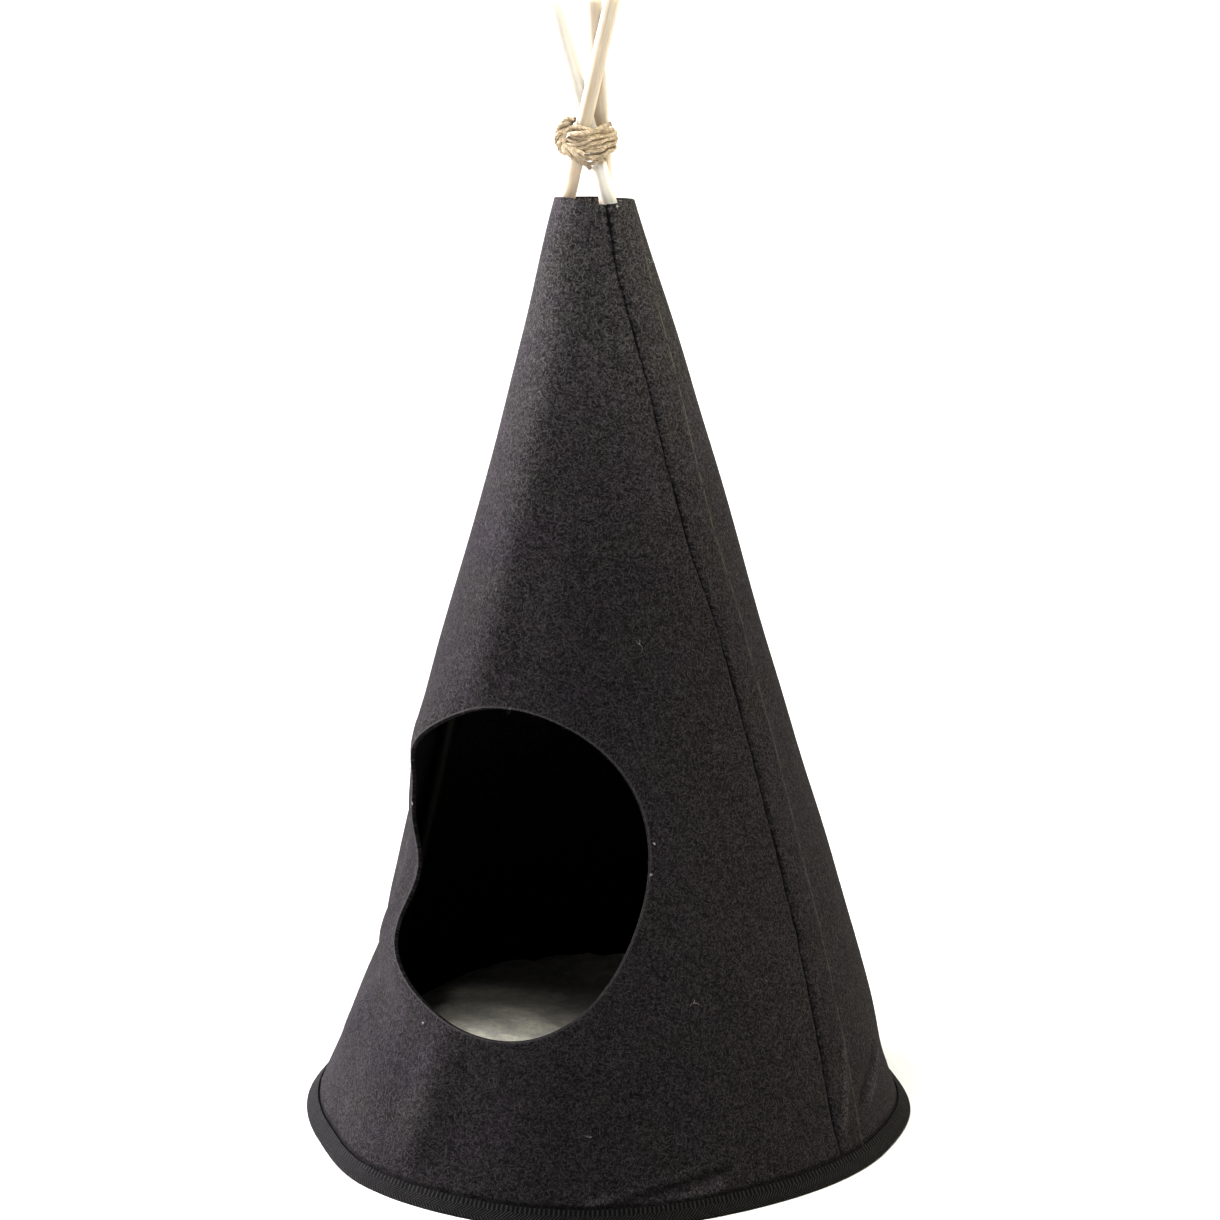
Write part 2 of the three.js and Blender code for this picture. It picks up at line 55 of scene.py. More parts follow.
# Lamps far away: azimuth, elevation, energy, spread in degrees and colour
SUNS = {
    "overhead": (-28, 75, 2.8, 28, (0.985, 1, 0.965)),
    "left": (-86, 12, 9.2, 30, (1, 0.96, 1)),
    "right": (133, 12, 2.7, 35, (1, 0.91, 0.68)),
}
SUN_AWAY = 3
# A narrow lamp on the part of the cushion that shows; it comes from this azimuth and elevation
SPOT_FROM = (16, 61)
SPOT_TARGET = (-0.095, -0.052, 0.072)
SPOT_AWAY = 1.6
SPOT_REACH = 0.115
SPOT_ENERGY = 13
SPOT_COLOR = (1, 1, 0.97)
# A soft box above the front of the tent
BOX_AZIMUTH = 45
BOX_TARGET = (0, 0, 0.45)
BOX_OUT = 0.42
BOX_ABOVE = 0.85
BOX_SIZE = 0.3
BOX_ENERGY = 4.3
BOX_COLOR = (0.975, 0.995, 0.955)
WORLD_TONE = 0.12
VIEW_GAMMA = 0.72
FLOOR_HALF = 80000.0

# Wall, doorway and foot
FELT = 3
GAP = 0.3
FOOT_R = 216.8
APEX_Z = 772.7
WALL_TOP_Z = 670
TOP_LEAN = np.array([-7.9, -4.2, 0])
HALF_ANGLE = np.arctan2(FOOT_R, APEX_Z)
DOOR_MIDDLE = np.array([-6, -569.6])
DOOR_R = 113
DOOR_WAVES = ((3, 2.4), (4, 2))
ROOT_R = 216.6
ROOT_Z = 11
FLANGE_SLOPE = np.radians(49)
TAPE = 1
TAPE_R = 220
FLANGE_GAP = 0.6
ROOT_TURN = (2, 9)
FOLDS_FROM = 35
FOOT_OUTLINE = (
    (-150, 0), (-70, 2), (-42, 0), (-20, 7), (8, 4), (58, -9), (92, -4), (112, -1), (130, -4),
    (170, -1), (210, 0),
)
SEAM = ((0, 79), (170, 81), (300, 79), (380, 76), (440, 69), (550, 61), (670, 40))
SEAM_RELIEF = ((-3, 0), (0, -1.6), (3, 1), (26, 1), (31, 0))
# Soft folds: azimuth, z, half spans in azimuth and z, and how far out
FOLDS = (
    (-27, 295, 14.5, 21.5, 18.5), (-45.5, 193, 8.6, 26, -19), (-66, 164, 8.6, 72, -16),
    (-48, 113, 19, 16, -12.5), (-50, 670, 25, 30, 1.8), (-170, 670, 25, 30, 1.5),
    (-62, 500, 30, 50, -2.5), (-62, 330, 22, 40, 1.5), (117, 150, 22, 110, 4),
    (119, 480, 30, 60, 1.5), (119, 670, 40, 40, -2.5), (122, 45, 22, 18, -3), (94, 40, 7, 45, 2),
)
TOP_EDGE = (
    (-180, 0), (-100, 1.2), (-62, 2.9), (-40, 4), (-25, 4.5), (-10, 4.2), (5, 3.4), (20, 1),
    (35, 0.4), (39.5, 0.2), (40.5, -0.8), (42, 0.5), (55, 0.9), (65, 1.7), (80, 3.2), (92, 3.1),
    (110, 1.4), (180, 0),
)

# Poles, lashing and cushion
POLE_R = 5.3
POLE_LENGTH = 836
POLE_FOOT_R = 200
TIE_Z = 710
POLES = {
    "pole_right": (97.6, -8.5, -8.5),
    "pole_left": (-88.8, -13.0, -19.8),
    "pole_back": (-162.8, -8.3, 4.6),
}
TWINE_PLY = 0.7
CUSHION_SEAM_R = 188
CUSHION_PROFILE = (
    (150, 0), (174, 5), (185, 15), (188, 27), (185.5, 32), (187, 38), (180, 50), (158, 60),
    (115, 66), (60, 69),
)
CUSHION_SEAM_Z = 35.3
CUSHION_HEIGHT = 70
CUSHION_SWELL = 5
# Creases on top of the cushion: points (x, y), how far out and half width
CUSHION_CREASES = (
    (((-116, -47), (-88, -30), (-53, -33), (-16, -52)), 1.6, 7),
    (((-112, -62), (-86, -47), (-60, -52), (-34, -66)), -1.3, 6),
    (((-80, -70), (-50, -78), (-20, -78)), 0.9, 5),
    (((-30, -30), (-4, -40), (24, -36)), -1.2, 8),
    (((-95, -85), (-62, -95), (-30, -96)), 0.9, 5),
)
CUSHION_PRESS = (8, 9)
CUSHION_PUCKERS = ((9, 1.2, 90), (14, 0.8, 147))
CUSHION_DIMPLES = ((-70, 20, 50, -3), (10, -50, 44, -3), (60, 70, 55, -3))


# --- Stage ---


def set_all(thing, **values):
    for name, value in values.items():
        setattr(thing, name, value)


def add_object(name, data):
    made = bpy.data.objects.new(name, data)
    SCENE.collection.objects.link(made)
    return made


def put_upright(made, place, up):
    """Moves an object to a place and turns its own +Z towards up."""
    made.location = place
    made.rotation_mode = "QUATERNION"
    made.rotation_quaternion = up.to_track_quat("Z", "Y")


def add_camera():
    data = bpy.data.cameras.new("camera")
    data.sensor_width = 36
    data.lens = data.sensor_width * FOCAL_PX / IMAGE_PX
    data.clip_end = 300
    camera = add_object("camera", data)
    turn = np.radians(CAMERA_AZIMUTH)
    camera.location = (CAMERA_AWAY * np.sin(turn), -CAMERA_AWAY * np.cos(turn), CAMERA_HEIGHT)
    camera.rotation_euler = (np.radians(90 - CAMERA_PITCH), 0, turn)
    SCENE.camera = camera


def direction(azimuth, elevation=0):
    a, e = np.radians([azimuth, elevation])
    return Vector((np.sin(a) * np.cos(e), -np.cos(a) * np.cos(e), np.sin(e)))


def add_lamp(name, kind, way, energy, color, target=(0, 0, 0), **settings):
    """A lamp that shines at its target, and stands where the way leads from there, in metres."""
    data = bpy.data.lights.new(name, kind)
    set_all(data, energy=energy, color=color, **settings)
    lamp = add_object(name, data)
    put_upright(lamp, Vector(target) + way, way)
    return lamp


def add_world():
    """Low light from all round, and white where the camera looks past the floor."""
    world = bpy.data.worlds.new("studio")
    world.use_nodes = True
    tree = world.node_tree
    low = tree.nodes["Background"]
    low.inputs["Color"].default_value = (WORLD_TONE, WORLD_TONE, WORLD_TONE, 1)
    white = tree.nodes.new("ShaderNodeBackground")
    white.inputs["Color"].default_value = (1, 1, 1, 1)
    seen = tree.nodes.new("ShaderNodeLightPath").outputs["Is Camera Ray"]
    both = tree.nodes.new("ShaderNodeMixShader")
    for value, socket in ((seen, 0), (low.outputs[0], 1), (white.outputs[0], 2)):
        tree.links.new(value, both.inputs[socket])
    tree.links.new(both.outputs[0], tree.nodes["World Output"].inputs[0])
    SCENE.world = world


def add_light():
    SCENE.view_settings.view_transform = "Standard"
    SCENE.view_settings.gamma = VIEW_GAMMA
    add_world()
    cone = {"spot_size": 2 * np.arctan2(SPOT_REACH, SPOT_AWAY), "spot_blend": 1.0}
    cone["shadow_soft_size"] = 0.1
    way = SPOT_AWAY * direction(*SPOT_FROM)
    add_lamp("cushion", "SPOT", way, SPOT_ENERGY, SPOT_COLOR, SPOT_TARGET, **cone)
    for name, (azimuth, elevation, energy, spread, color) in SUNS.items():
        way = SUN_AWAY * direction(azimuth, elevation)
        add_lamp(name, "SUN", way, energy, color, angle=np.radians(spread))
    way = BOX_OUT * direction(BOX_AZIMUTH) + Vector((0, 0, BOX_ABOVE))
    disk = {"shape": "DISK", "size": BOX_SIZE}
    box = add_lamp("front", "AREA", way, BOX_ENERGY, BOX_COLOR, BOX_TARGET, **disk)
    box.visible_camera = False


# --- Node materials ---


class Graph:
    """Short calls that add nodes to one material and return their outputs."""

    def __init__(self, name):
        self.material = bpy.data.materials.new(name)
        self.material.use_nodes = True
        self.tree = self.material.node_tree
        self.shader = self.tree.nodes["Principled BSDF"]

    def put(self, node, socket, value):
        target = node.inputs[socket]
        if isinstance(value, bpy.types.NodeSocket):
            self.tree.links.new(value, target)
        else:
            target.default_value = value

    def node(self, kind, inputs, **settings):
        made = self.tree.nodes.new("ShaderNode" + kind)
        set_all(made, **settings)
        for socket, value in inputs.items():
            self.put(made, socket, value)
        return made

    def math(self, operation, a, b=0.0):
        return self.node("Math", {0: a, 1: b}, operation=operation).outputs[0]

    def times(self, value, *others):
        for other in others:
            value = self.math("MULTIPLY", value, other)
        return value

    def plus(self, a, b):
        return self.math("ADD", a, b)

    def minus(self, a, b):
        return self.math("SUBTRACT", a, b)

    def absolute(self, a):
        return self.math("ABSOLUTE", a)

    def sine(self, a):
        return self.math("SINE", a)

    def vector(self, operation, a, b):
        return self.node("VectorMath", {0: a, 1: b}, operation=operation).outputs[0]

    def spread(self, value, low, high, to_low=0.0, to_high=1.0):
        """A value from one range in another, eased at both ends."""
        ends = {"From Min": low, "From Max": high, "To Min": to_low, "To Max": to_high}
        inputs = {"Value": value, **ends}
        return self.node("MapRange", inputs, interpolation_type="SMOOTHSTEP").outputs[0]

    def noise(self, place, scale, detail=2.0, roughness=0.5):
        inputs = {"Vector": place, "Scale": scale, "Detail": detail, "Roughness": roughness}
        return self.node("TexNoise", inputs).outputs["Fac"]

    def mix(self, share, a, b, blend="MIX"):
        made = self.node("Mix", {"Factor": share}, data_type="RGBA", blend_type=blend)
        self.put(made, 6, a)
        self.put(made, 7, b)
        return made.outputs[2]

    def scaled(self, color, *by):
        """A colour times numbers or colours."""
        for factor in by:
            color = self.mix(1.0, color, factor, "MULTIPLY")
        return color

    def uv(self, layer="UVMap"):
        return self.node("UVMap", {}, uv_map=layer).outputs[0]

    def place(self):
        return self.node("TexCoord", {}).outputs["Object"]

    def split(self, vector):
        return self.node("SeparateXYZ", {0: vector}).outputs

    def join(self, x, y, z=0.0):
        return self.node("CombineXYZ", {0: x, 1: y, 2: z}).outputs[0]

    def strokes(self, place, cells, length, width, shift):
        """Short bent fibres, one in each cell at its own angle: 1 on a fibre, 0 between."""
        at = self.vector("ADD", place, (shift, shift * 1.7, 0))
        cell = {"Vector": at, "Scale": cells}
        cell = self.node("TexVoronoi", cell, voronoi_dimensions="2D").outputs
        away = self.vector("SUBTRACT", at, cell["Position"])
        chance = self.split(cell["Color"])
        turn = {"Vector": away, "Angle": self.times(chance[0], 6.283)}
        turned = self.node("VectorRotate", turn, rotation_type="Z_AXIS").outputs[0]
        along, across, _ = self.split(turned)
        bend = self.times(self.minus(chance[1], 0.5), 1.2 / length)
        off = self.absolute(self.plus(across, self.times(along, along, bend)))
        body = self.spread(off, width, 0.2 * width)
        ends = self.spread(self.absolute(along), 0.5 * length, 0.3 * length)
        return self.times(body, ends, self.spread(chance[2], 0.1, 0.9, 0.3, 1.0))

    def finish(self, color, roughness, height, relief, constants={}):
        """Links colour, roughness and bump height, and sets the shader's constants."""
        bump = self.node("Bump", {"Strength": 1.0, "Distance": relief, "Height": height})
        linked = {"Base Color": color, "Roughness": roughness, "Normal": bump.outputs[0]}
        for socket, value in (linked | constants).items():
            self.put(self.shader, socket, value)
        return self.material


def cloth_shine(weight, roughness, tint, specular):
    return {
        "Sheen Weight": weight, "Sheen Roughness": roughness, "Sheen Tint": (*tint, 1),
        "Specular IOR Level": specular,
    }


def felt_material(name, tone, fibre, is_wall=False):
    """Pressed felt: mottled ground, short light fibres that lie every way, and broad soft tints."""
    g = Graph(name)
    uv = g.uv()
    mottle = g.noise(uv, 520.0, 3.0, 0.7)
    clump = g.noise(uv, 150.0, 2.0, 0.6)
    cloud = g.noise(uv, 9.0, 2.0, 0.55)
    tuft = g.noise(uv, 230.0, 2.0, 0.65)
    ground = g.times(
        g.spread(mottle, 0.3, 0.7, 0.25, 1.75),
        g.spread(tuft, 0.32, 0.68, 0.66, 1.34),
        g.spread(clump, 0.25, 0.75, 0.78, 1.22),
        g.spread(cloud, 0.2, 0.8, 0.88, 1.12),
    )
    wool = g.spread(g.absolute(g.minus(g.noise(uv, 330.0, 1.5, 0.6), 0.5)), 0.045, 0.0)
    wool = g.times(wool, g.spread(g.noise(uv, 210.0, 1.0), 0.42, 0.62), 0.75)
    fine = g.strokes(uv, 420.0, 0.0026, 0.0004, 0.0)
    middle = g.strokes(uv, 260.0, 0.0040, 0.0005, 3.1)
    fibres = g.math("MAXIMUM", g.math("MAXIMUM", fine, middle), wool)
    patches = g.spread(g.noise(uv, 22.0, 2.0, 0.6), 0.35, 0.65)
    tint = g.mix(patches, (1.04, 0.96, 1.05, 1), (1.0, 1.01, 0.93, 1))
    nap = g.spread(g.noise(uv, 55.0, 3.0, 0.65), 0.3, 0.7, 0.8, 1.2)
    color = g.mix(g.times(fibres, 0.55), g.scaled(tone, tint, ground, nap), fibre)
    height = g.plus(g.plus(g.times(mottle, 0.8), g.times(fibres, 0.5)), g.times(tuft, 0.9))
    if is_wall:
        z = g.split(g.place())[2]
        color = wall_tones(g, color, z, mottle, fibre)
        color, groove_and_painted_shade = wall_seam(g, color, z)
        height = g.minus(height, g.times(groove_and_painted_shade, 1.5))
    shine = cloth_shine(0.08, 0.5, (0.58, 0.54, 0.58), 0.15)
    return g.finish(color, g.spread(mottle, 0.2, 0.8, 0.98, 0.86), height, 0.0008, shine)


def wall_tones(g, color, z, mottle, fibre):
    """Paler along the cut edge; painted light towards the top, on crease crests and near the rim
    inside; painted shade above the tape, on the cut edge's faces, in crease valleys and lower
    inside.
    """
    olive = g.mix(g.spread(z, 0.42, 0.64), (1, 1, 1, 1), (0.98, 1.01, 0.955, 1))
    # Painted shade: darker in a band just above the tape.
    painted_shade_above_tape = g.spread(z, 0.0122, 0.0148, 0.4, 1.0)
    # Painted light: the felt is up to twice as light towards the top.
    color = g.scaled(color, g.spread(z, 0.34, 0.70, 1.0, 2.0), olive, painted_shade_above_tape)
    past_edge, inside, _ = g.split(g.uv("Edge"))
    fray = g.plus(past_edge, g.times(g.minus(mottle, 0.5), 0.003))
    rim = g.times(g.spread(fray, 0.0016, 0.0004), g.spread(past_edge, -0.0004, 0.0001))
    color = g.mix(g.times(rim, 0.5), color, fibre)
    # Painted shade: the faces of the cut edge are darkened.
    on_edge = g.spread(inside, 0.2, 0.6, 1.0, 0.55)
    # Inside, painted shade low down and painted light near the rim.
    painted_light_and_shade_inside = g.spread(z, 0.635, 0.668, 0.3, 3.5)
    color = g.scaled(color, g.mix(g.spread(inside, 0.6, 0.9), on_edge, painted_light_and_shade_inside))
    crease = g.split(g.uv("Crease"))[0]
    # Painted shade in crease valleys and painted light on crease crests.
    painted_crease_shade = g.spread(crease, -0.0001, -0.0016, 1.0, 0.55)
    painted_crest_light = g.spread(crease, 0.0001, 0.0010, 1.0, 1.7)
    return g.scaled(color, painted_crease_shade, painted_crest_light)


def wall_seam(g, color, z):
    """Painted shade in the seam's groove, drawn near-black in stitch-like dots, and a painted
    highlight along the ridge over the overlap's edge.
    """
    beside, along, _ = g.split(g.uv("Seam"))
    wander = g.noise(g.join(0.0, along), 70.0, 2.0)
    stitch = g.sine(g.plus(g.times(along, 1000.0), g.times(wander, 9.0)))
    wide = g.plus(g.spread(stitch, -0.4, 0.9, 0.0006, 0.0018), g.times(wander, 0.0006))
    # Painted shade: the dark groove is up to twice as wide near the top of the seam.
    wide = g.times(wide, g.spread(z, 0.58, 0.66, 1.0, 2.0))
    drift = g.spread(g.noise(g.join(0.0, along), 24.0, 2.0), 0.3, 0.7, -0.0008, 0.0008)
    groove_and_painted_shade = g.spread(g.absolute(g.plus(beside, drift)), wide, 0.0002)
    # Painted highlight: a light olive line on the ridge over the overlap's edge.
    overlap = g.plus(0.0275, g.times(wander, 0.0035))
    line = g.spread(g.absolute(g.minus(beside, overlap)), 0.0013, 0.0002)
    broken = g.spread(g.noise(g.join(beside, along), 120.0, 2.0, 0.7), 0.40, 0.58)
    painted_ridge_light = g.times(line, broken, g.spread(z, 0.36, 0.56, 0.5, 0.85))
    color = g.mix(painted_ridge_light, color, (0.17, 0.16, 0.115, 1))
    # Painted shade: the groove is drawn near-black.
    return g.mix(g.times(groove_and_painted_shade, 0.94), color, (0.0015, 0.0015, 0.0015, 1)), groove_and_painted_shade


def tape_material():
    """Woven herringbone tape: a row of upright ticks over two rows of slanting ones."""
    ticks_end, upper_end, twill_pitch, tick_pitch = 0.0042, 0.0090, 0.0024, 0.0033
    g = Graph("herringbone_tape")
    u, v, _ = g.split(g.uv())
    run = g.plus(u, g.times(g.noise(g.uv(), 60.0), 0.0012))
    in_ticks = g.math("LESS_THAN", v, ticks_end)
    in_upper = g.math("LESS_THAN", v, upper_end)
    slant = g.times(g.minus(g.times(in_upper, 2.0), 1.0), v, g.minus(1.0, in_ticks))
    twill = g.spread(g.sine(g.times(g.plus(run, slant), 2 * np.pi / twill_pitch)), -0.3, 0.9)
    tick = g.spread(g.sine(g.times(run, 2 * np.pi / tick_pitch)), 0.0, 0.7)
    fuzz = g.noise(g.uv(), 1100.0, 2.0, 0.7)
    weave = g.times(g.mix(in_ticks, twill, tick), g.spread(fuzz, 0.3, 0.7, 0.35, 1.0))
    worn = g.spread(g.noise(g.uv(), 240.0, 2.0, 0.6), 0.3, 0.7, 0.55, 1.0)
    thread = g.mix(in_ticks, (0.100, 0.095, 0.100, 1), (0.082, 0.078, 0.082, 1))
    color = g.mix(g.times(weave, worn), (0.0015, 0.0015, 0.0018, 1), thread)
    shine = cloth_shine(0.05, 0.5, (0.5, 0.5, 0.52), 0.25)
    return g.finish(color, g.spread(fuzz, 0.2, 0.8, 0.9, 0.72), weave, 0.001, shine)


def plush_material():
    """Short plush: tufts that lie in patches, darker down between them."""
    g = Graph("plush")
    at = g.place()
    pile = g.noise(at, 900.0, 3.0, 0.7)
    tuft = g.noise(at, 110.0, 2.0, 0.6)
    patch = g.noise(at, 34.0, 3.0, 0.7)
    light = g.times(
        g.spread(pile, 0.25, 0.75, 0.86, 1.05),
        g.spread(tuft, 0.25, 0.75, 0.86, 1.08),
        g.spread(patch, 0.35, 0.65, 0.92, 1.14),
    )
    warm = g.mix(g.spread(patch, 0.35, 0.65), (0.84, 0.80, 0.74, 1), (0.86, 0.82, 0.73, 1))
    height = g.plus(g.times(pile, 0.4), tuft)
    shine = cloth_shine(0.5, 0.4, (0.9, 0.88, 0.84), 0.1)
    rough = g.spread(tuft, 0.2, 0.8, 0.98, 0.85)
    return g.finish(g.scaled(warm, light), rough, height, 0.0016, shine)


# Birch: between its streaks, in them, and its broad pale bands; one rod is whiter than the others
BIRCH = (0.575, 0.53, 0.46, 1), (0.49, 0.425, 0.33, 1), (0.62, 0.585, 0.535, 1)
WHITE_BIRCH = (0.60, 0.595, 0.57, 1), (0.545, 0.53, 0.49, 1), (0.63, 0.62, 0.60, 1)


def wood_material(shift, pale, streaks, bands):
    """Birch, its grain along the rod and rings on its cut ends; painted light below the tie, a
    little painted shade towards the tips, and painted shade that makes it dark inside the tent.
    """
    g = Graph("birch")
    x, y, z = g.split(g.place())
    at = g.join(x, y, g.plus(g.times(z, 0.035), shift))
    grain = g.noise(at, 420.0, 4.0, 0.65)
    broad = g.noise(at, 90.0, 2.0, 0.5)
    pores = g.noise(g.join(x, y, g.times(z, 0.09)), 1500.0, 1.0, 0.5)
    color = g.mix(g.spread(grain, 0.38, 0.66), pale, streaks)
    color = g.mix(g.spread(broad, 0.35, 0.7, 0.0, 0.5), color, bands)
    color = g.mix(g.spread(pores, 0.68, 0.76, 0.0, 0.35), color, (0.45, 0.32, 0.2, 1))
    # Painted light and shade along the rod: lighter below the tie, a little darker towards the
    # tips.
    color = g.scaled(color, g.spread(z, 0.69, 0.75, 1.28, 0.93))
    radius = g.node("VectorMath", {0: g.join(x, y)}, operation="LENGTH").outputs["Value"]
    rings = g.spread(g.sine(g.times(radius, 5200.0)), -1.0, 1.0)
    rings = g.mix(rings, (0.62, 0.47, 0.30, 1), (0.45, 0.32, 0.19, 1))
    facing = g.absolute(g.split(g.node("TexCoord", {}).outputs["Normal"])[2])
    color = g.mix(g.times(g.spread(facing, 0.8, 0.95), 0.7), color, rings)
    # Painted shade: near-black inside the tent.
    color = g.mix(g.spread(z, 0.64, 0.58), color, (0.008, 0.006, 0.004, 1))
    height = g.minus(g.times(grain, -0.5), g.spread(pores, 0.66, 0.76))
    glow = {
        "Specular IOR Level": 0.4, "Subsurface Weight": 0.7, "Subsurface Scale": 1.0,
        "Subsurface Radius": (0.011, 0.010, 0.009),
    }
    return g.finish(color, g.spread(grain, 0.3, 0.7, 0.5, 0.66), height, 0.00015, glow)


def twine_material(name, low, high):
    """Jute: fine fibres along each ply, uneven from place to place, darker at its cut ends."""
    g = Graph(name)
    u, v, _ = g.split(g.uv())
    fibre = g.noise(g.join(g.times(u, 0.12), v), 2600.0, 3.0, 0.7)
    patch = g.noise(g.place(), 160.0, 2.0, 0.6)
    color = g.mix(g.spread(fibre, 0.36, 0.64), low, high)
    color = g.scaled(color, g.spread(patch, 0.3, 0.7, 0.88, 1.36))
    cut = g.times(g.spread(u, 0.0022, 0.0006), 0.85)
    color = g.mix(cut, color, (0.10, 0.055, 0.03, 1))
    shine = cloth_shine(0.25, 0.45, (1.0, 0.9, 0.75), 0.25)
    return g.finish(color, g.spread(fibre, 0.3, 0.7, 0.95, 0.8), fibre, 0.0007, shine)


def fibre_material(name, low, high):
    """Loose fibres, each a little lighter or darker than the next."""
    g = Graph(name)
    tone = g.noise(g.place(), 300.0, 2.0, 0.6)
    color = g.mix(g.spread(tone, 0.35, 0.65), low, high)
    return g.finish(color, g.spread(tone, 0.2, 0.8, 0.9, 0.7), tone, 0.0001, {"Sheen Weight": 0.3})


def floor_material():
    g = Graph("pale_floor")
    cloud = g.noise(g.place(), 3.0, 2.0, 0.5)
    color = g.mix(cloud, (0.90, 0.90, 0.90, 1), (0.92, 0.92, 0.92, 1))
    return g.finish(color, g.spread(cloud, 0.2, 0.8, 0.85, 0.95), cloud, 0.0001)


# --- Mesh helpers ---


def piece_from(name, points, faces, material, **layers):
    """A smooth mesh object, in millimetres; each UV layer has one pair for each face corner."""
    mesh = bpy.data.meshes.new(name)
    faces = [tuple(map(int, face)) for face in faces]
    mesh.from_pydata((np.asarray(points) * MM).tolist(), [], faces)
    for layer, pairs in layers.items():
        mesh.uv_layers.new(name=layer).data.foreach_set("uv", np.ravel(pairs).astype(np.float32))
    mesh.polygons.foreach_set("use_smooth", np.ones(len(mesh.polygons), bool))
    mesh.materials.append(material)
    mesh.update()
    return add_object(name, mesh)


def part(piece, slot, *nodes):
    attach(piece, "root")
    if nodes:
        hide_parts(*nodes)
    return piece


def look_up(table, at):
    rows = np.array(table, float)
    return np.interp(at, rows[:, 0], rows[:, 1])


def smoothstep(value, low, high):
    share = np.clip((value - low) / (high - low), 0, 1)
    return share * share * (3 - 2 * share)


def turn_between(start, end):
    return (end - start + 180) % 360 - 180


def bell(offset, span):
    return np.exp(-0.5 * (offset / span) ** 2)


def unit(vectors):
    return vectors / np.linalg.norm(vectors, axis=-1, keepdims=True)


def polar(points):
    """The azimuth, in radians, and the distance from the middle."""
    return np.arctan2(points[..., 0], -points[..., 1]), np.hypot(points[..., 0], points[..., 1])


def towards(azimuth, distance=1):
    """From an azimuth in radians and a distance to (x, y)."""
    return np.stack([distance * np.sin(azimuth), -distance * np.cos(azimuth)], -1)


def widened(points, scale):
    return points * np.stack([scale, scale, np.ones_like(scale)], -1)


def catmull_rom(points, steps):
    """A smooth line through the points."""
    points = np.asarray(points, float)
    padded = np.vstack([2 * points[0] - points[1], points, 2 * points[-1] - points[-2]])
    t = np.linspace(0, 1, steps, endpoint=False)[:, None]
    made = []
    for a, b, c, d in zip(padded, padded[1:], padded[2:], padded[3:]):
        square, cube = 2 * a - 5 * b + 4 * c - d, 3 * b - a - 3 * c + d
        made.append(0.5 * (2 * b + (c - a) * t + square * t**2 + cube * t**3))
    return np.vstack([*made, points[-1:]])


def lengths_along(path):
    return np.r_[0, np.cumsum(np.linalg.norm(np.diff(path, axis=0), axis=1))]


def evenly(path, step):
    """The path again, with its points a step apart."""
    along = lengths_along(path)
    at = np.linspace(0, along[-1], max(2, int(along[-1] / step)))
    return np.stack([np.interp(at, along, path[:, i]) for i in range(path.shape[1])], 1)


def softened(path, reach):
    """The path with each point moved to the mean of its neighbours, ends kept."""
    made = path.copy()
    for _ in range(reach):
        made[1:-1] = (made[:-2] + 2 * made[1:-1] + made[2:]) / 4
    return made


def carried_frames(path):
    """Two directions square to the path, carried along it without twist."""
    tangent = unit(np.gradient(path, axis=0))
    side = np.cross(tangent[0], [0.3, 0.2, 1.0])
    sides = []
    for t in tangent:
        side = side - t * np.dot(side, t)
        side = side / np.linalg.norm(side)
        sides.append(side)
    return np.array(sides), np.cross(tangent, sides)


def wound(path, offset, lay, phase):
    """The path of a ply that winds round the path at an offset."""
    a, b = carried_frames(path)
    wind = 2 * np.pi * lengths_along(path)[:, None] / lay + phase
    return path + offset * (np.cos(wind) * a + np.sin(wind) * b)


def revolved(profile, columns):
    """Rings of points of a profile [(r, z)] turned about +Z, as an array [profile, column, xyz]."""
    r, z = np.array(profile, float).T
    way = towards(turn_of(columns))
    return np.dstack([np.multiply.outer(r, way), np.outer(z, np.ones(columns))])


def turn_of(columns):
    return np.radians(np.arange(columns) * 360 / columns)


def ring_faces(rows, columns, is_closed=False):
    """Quads between neighbouring rings, facing out for a profile that runs up on the outside."""
    starts = np.arange(rows if is_closed else rows - 1)
    i, j = np.meshgrid(starts, np.arange(columns), indexing="ij")
    i, j = i.ravel(), j.ravel()
    k, n = (i + 1) % rows, (j + 1) % columns
    return np.stack([i * columns + j, i * columns + n, k * columns + n, k * columns + j], 1)


def rows_and_columns(faces, columns):
    """The ring and column of each corner; the first column counts as past the last one there."""
    row, column = faces // columns, faces % columns
    wraps = (column == 0) & (column.max(axis=1, keepdims=True) == columns - 1)
    return row, np.where(wraps, columns, column)


def closed_turn(rings, low, high):
    """Points and faces of a turned body, its first and last ring closed at these heights."""
    rows, columns = rings.shape[:2]
    points = np.vstack([rings.reshape(-1, 3), [[0, 0, low], [0, 0, high]]])
    faces = [*ring_faces(rows, columns)]
    last = (rows - 1) * columns
    for i in range(columns):
        n = (i + 1) % columns
        faces += [(len(points) - 2, n, i), (len(points) - 1, last + i, last + n)]
    return points, faces


def tube(path, radius, sides=8):
    """A tube along the path. Gives points, faces and uv."""
    a, b = carried_frames(path)
    turn = 2 * np.pi * np.arange(sides)[:, None] / sides
    points = path[:, None] + radius * (np.cos(turn) * a[:, None] + np.sin(turn) * b[:, None])
    faces = ring_faces(len(path), sides)
    row, column = rows_and_columns(faces, sides)
    uv = np.stack([lengths_along(path)[row], column * (2 * np.pi * radius / sides)], -1) * MM
    caps = [np.arange(sides)[::-1], (len(path) - 1) * sides + np.arange(sides)]
    uv = np.vstack([uv.reshape(-1, 2), np.zeros((2 * sides, 2))])
    return points.reshape(-1, 3), [*faces, *caps], uv


def joined(parts):
    """Several (points, faces, uv) as one."""
    points, faces, uv, count = [], [], [], 0
    for some, theirs, pairs in parts:
        points.append(some)
        faces += [[i + count for i in face] for face in theirs]
        uv.append(pairs)
        count += len(some)
    return np.vstack(points), faces, np.vstack(uv)


def square_to(outs, rng):
    """A random direction square to each of these."""
    ways = rng.normal(size=outs.shape)
    return unit(ways - outs * np.sum(ways * outs, axis=1, keepdims=True))


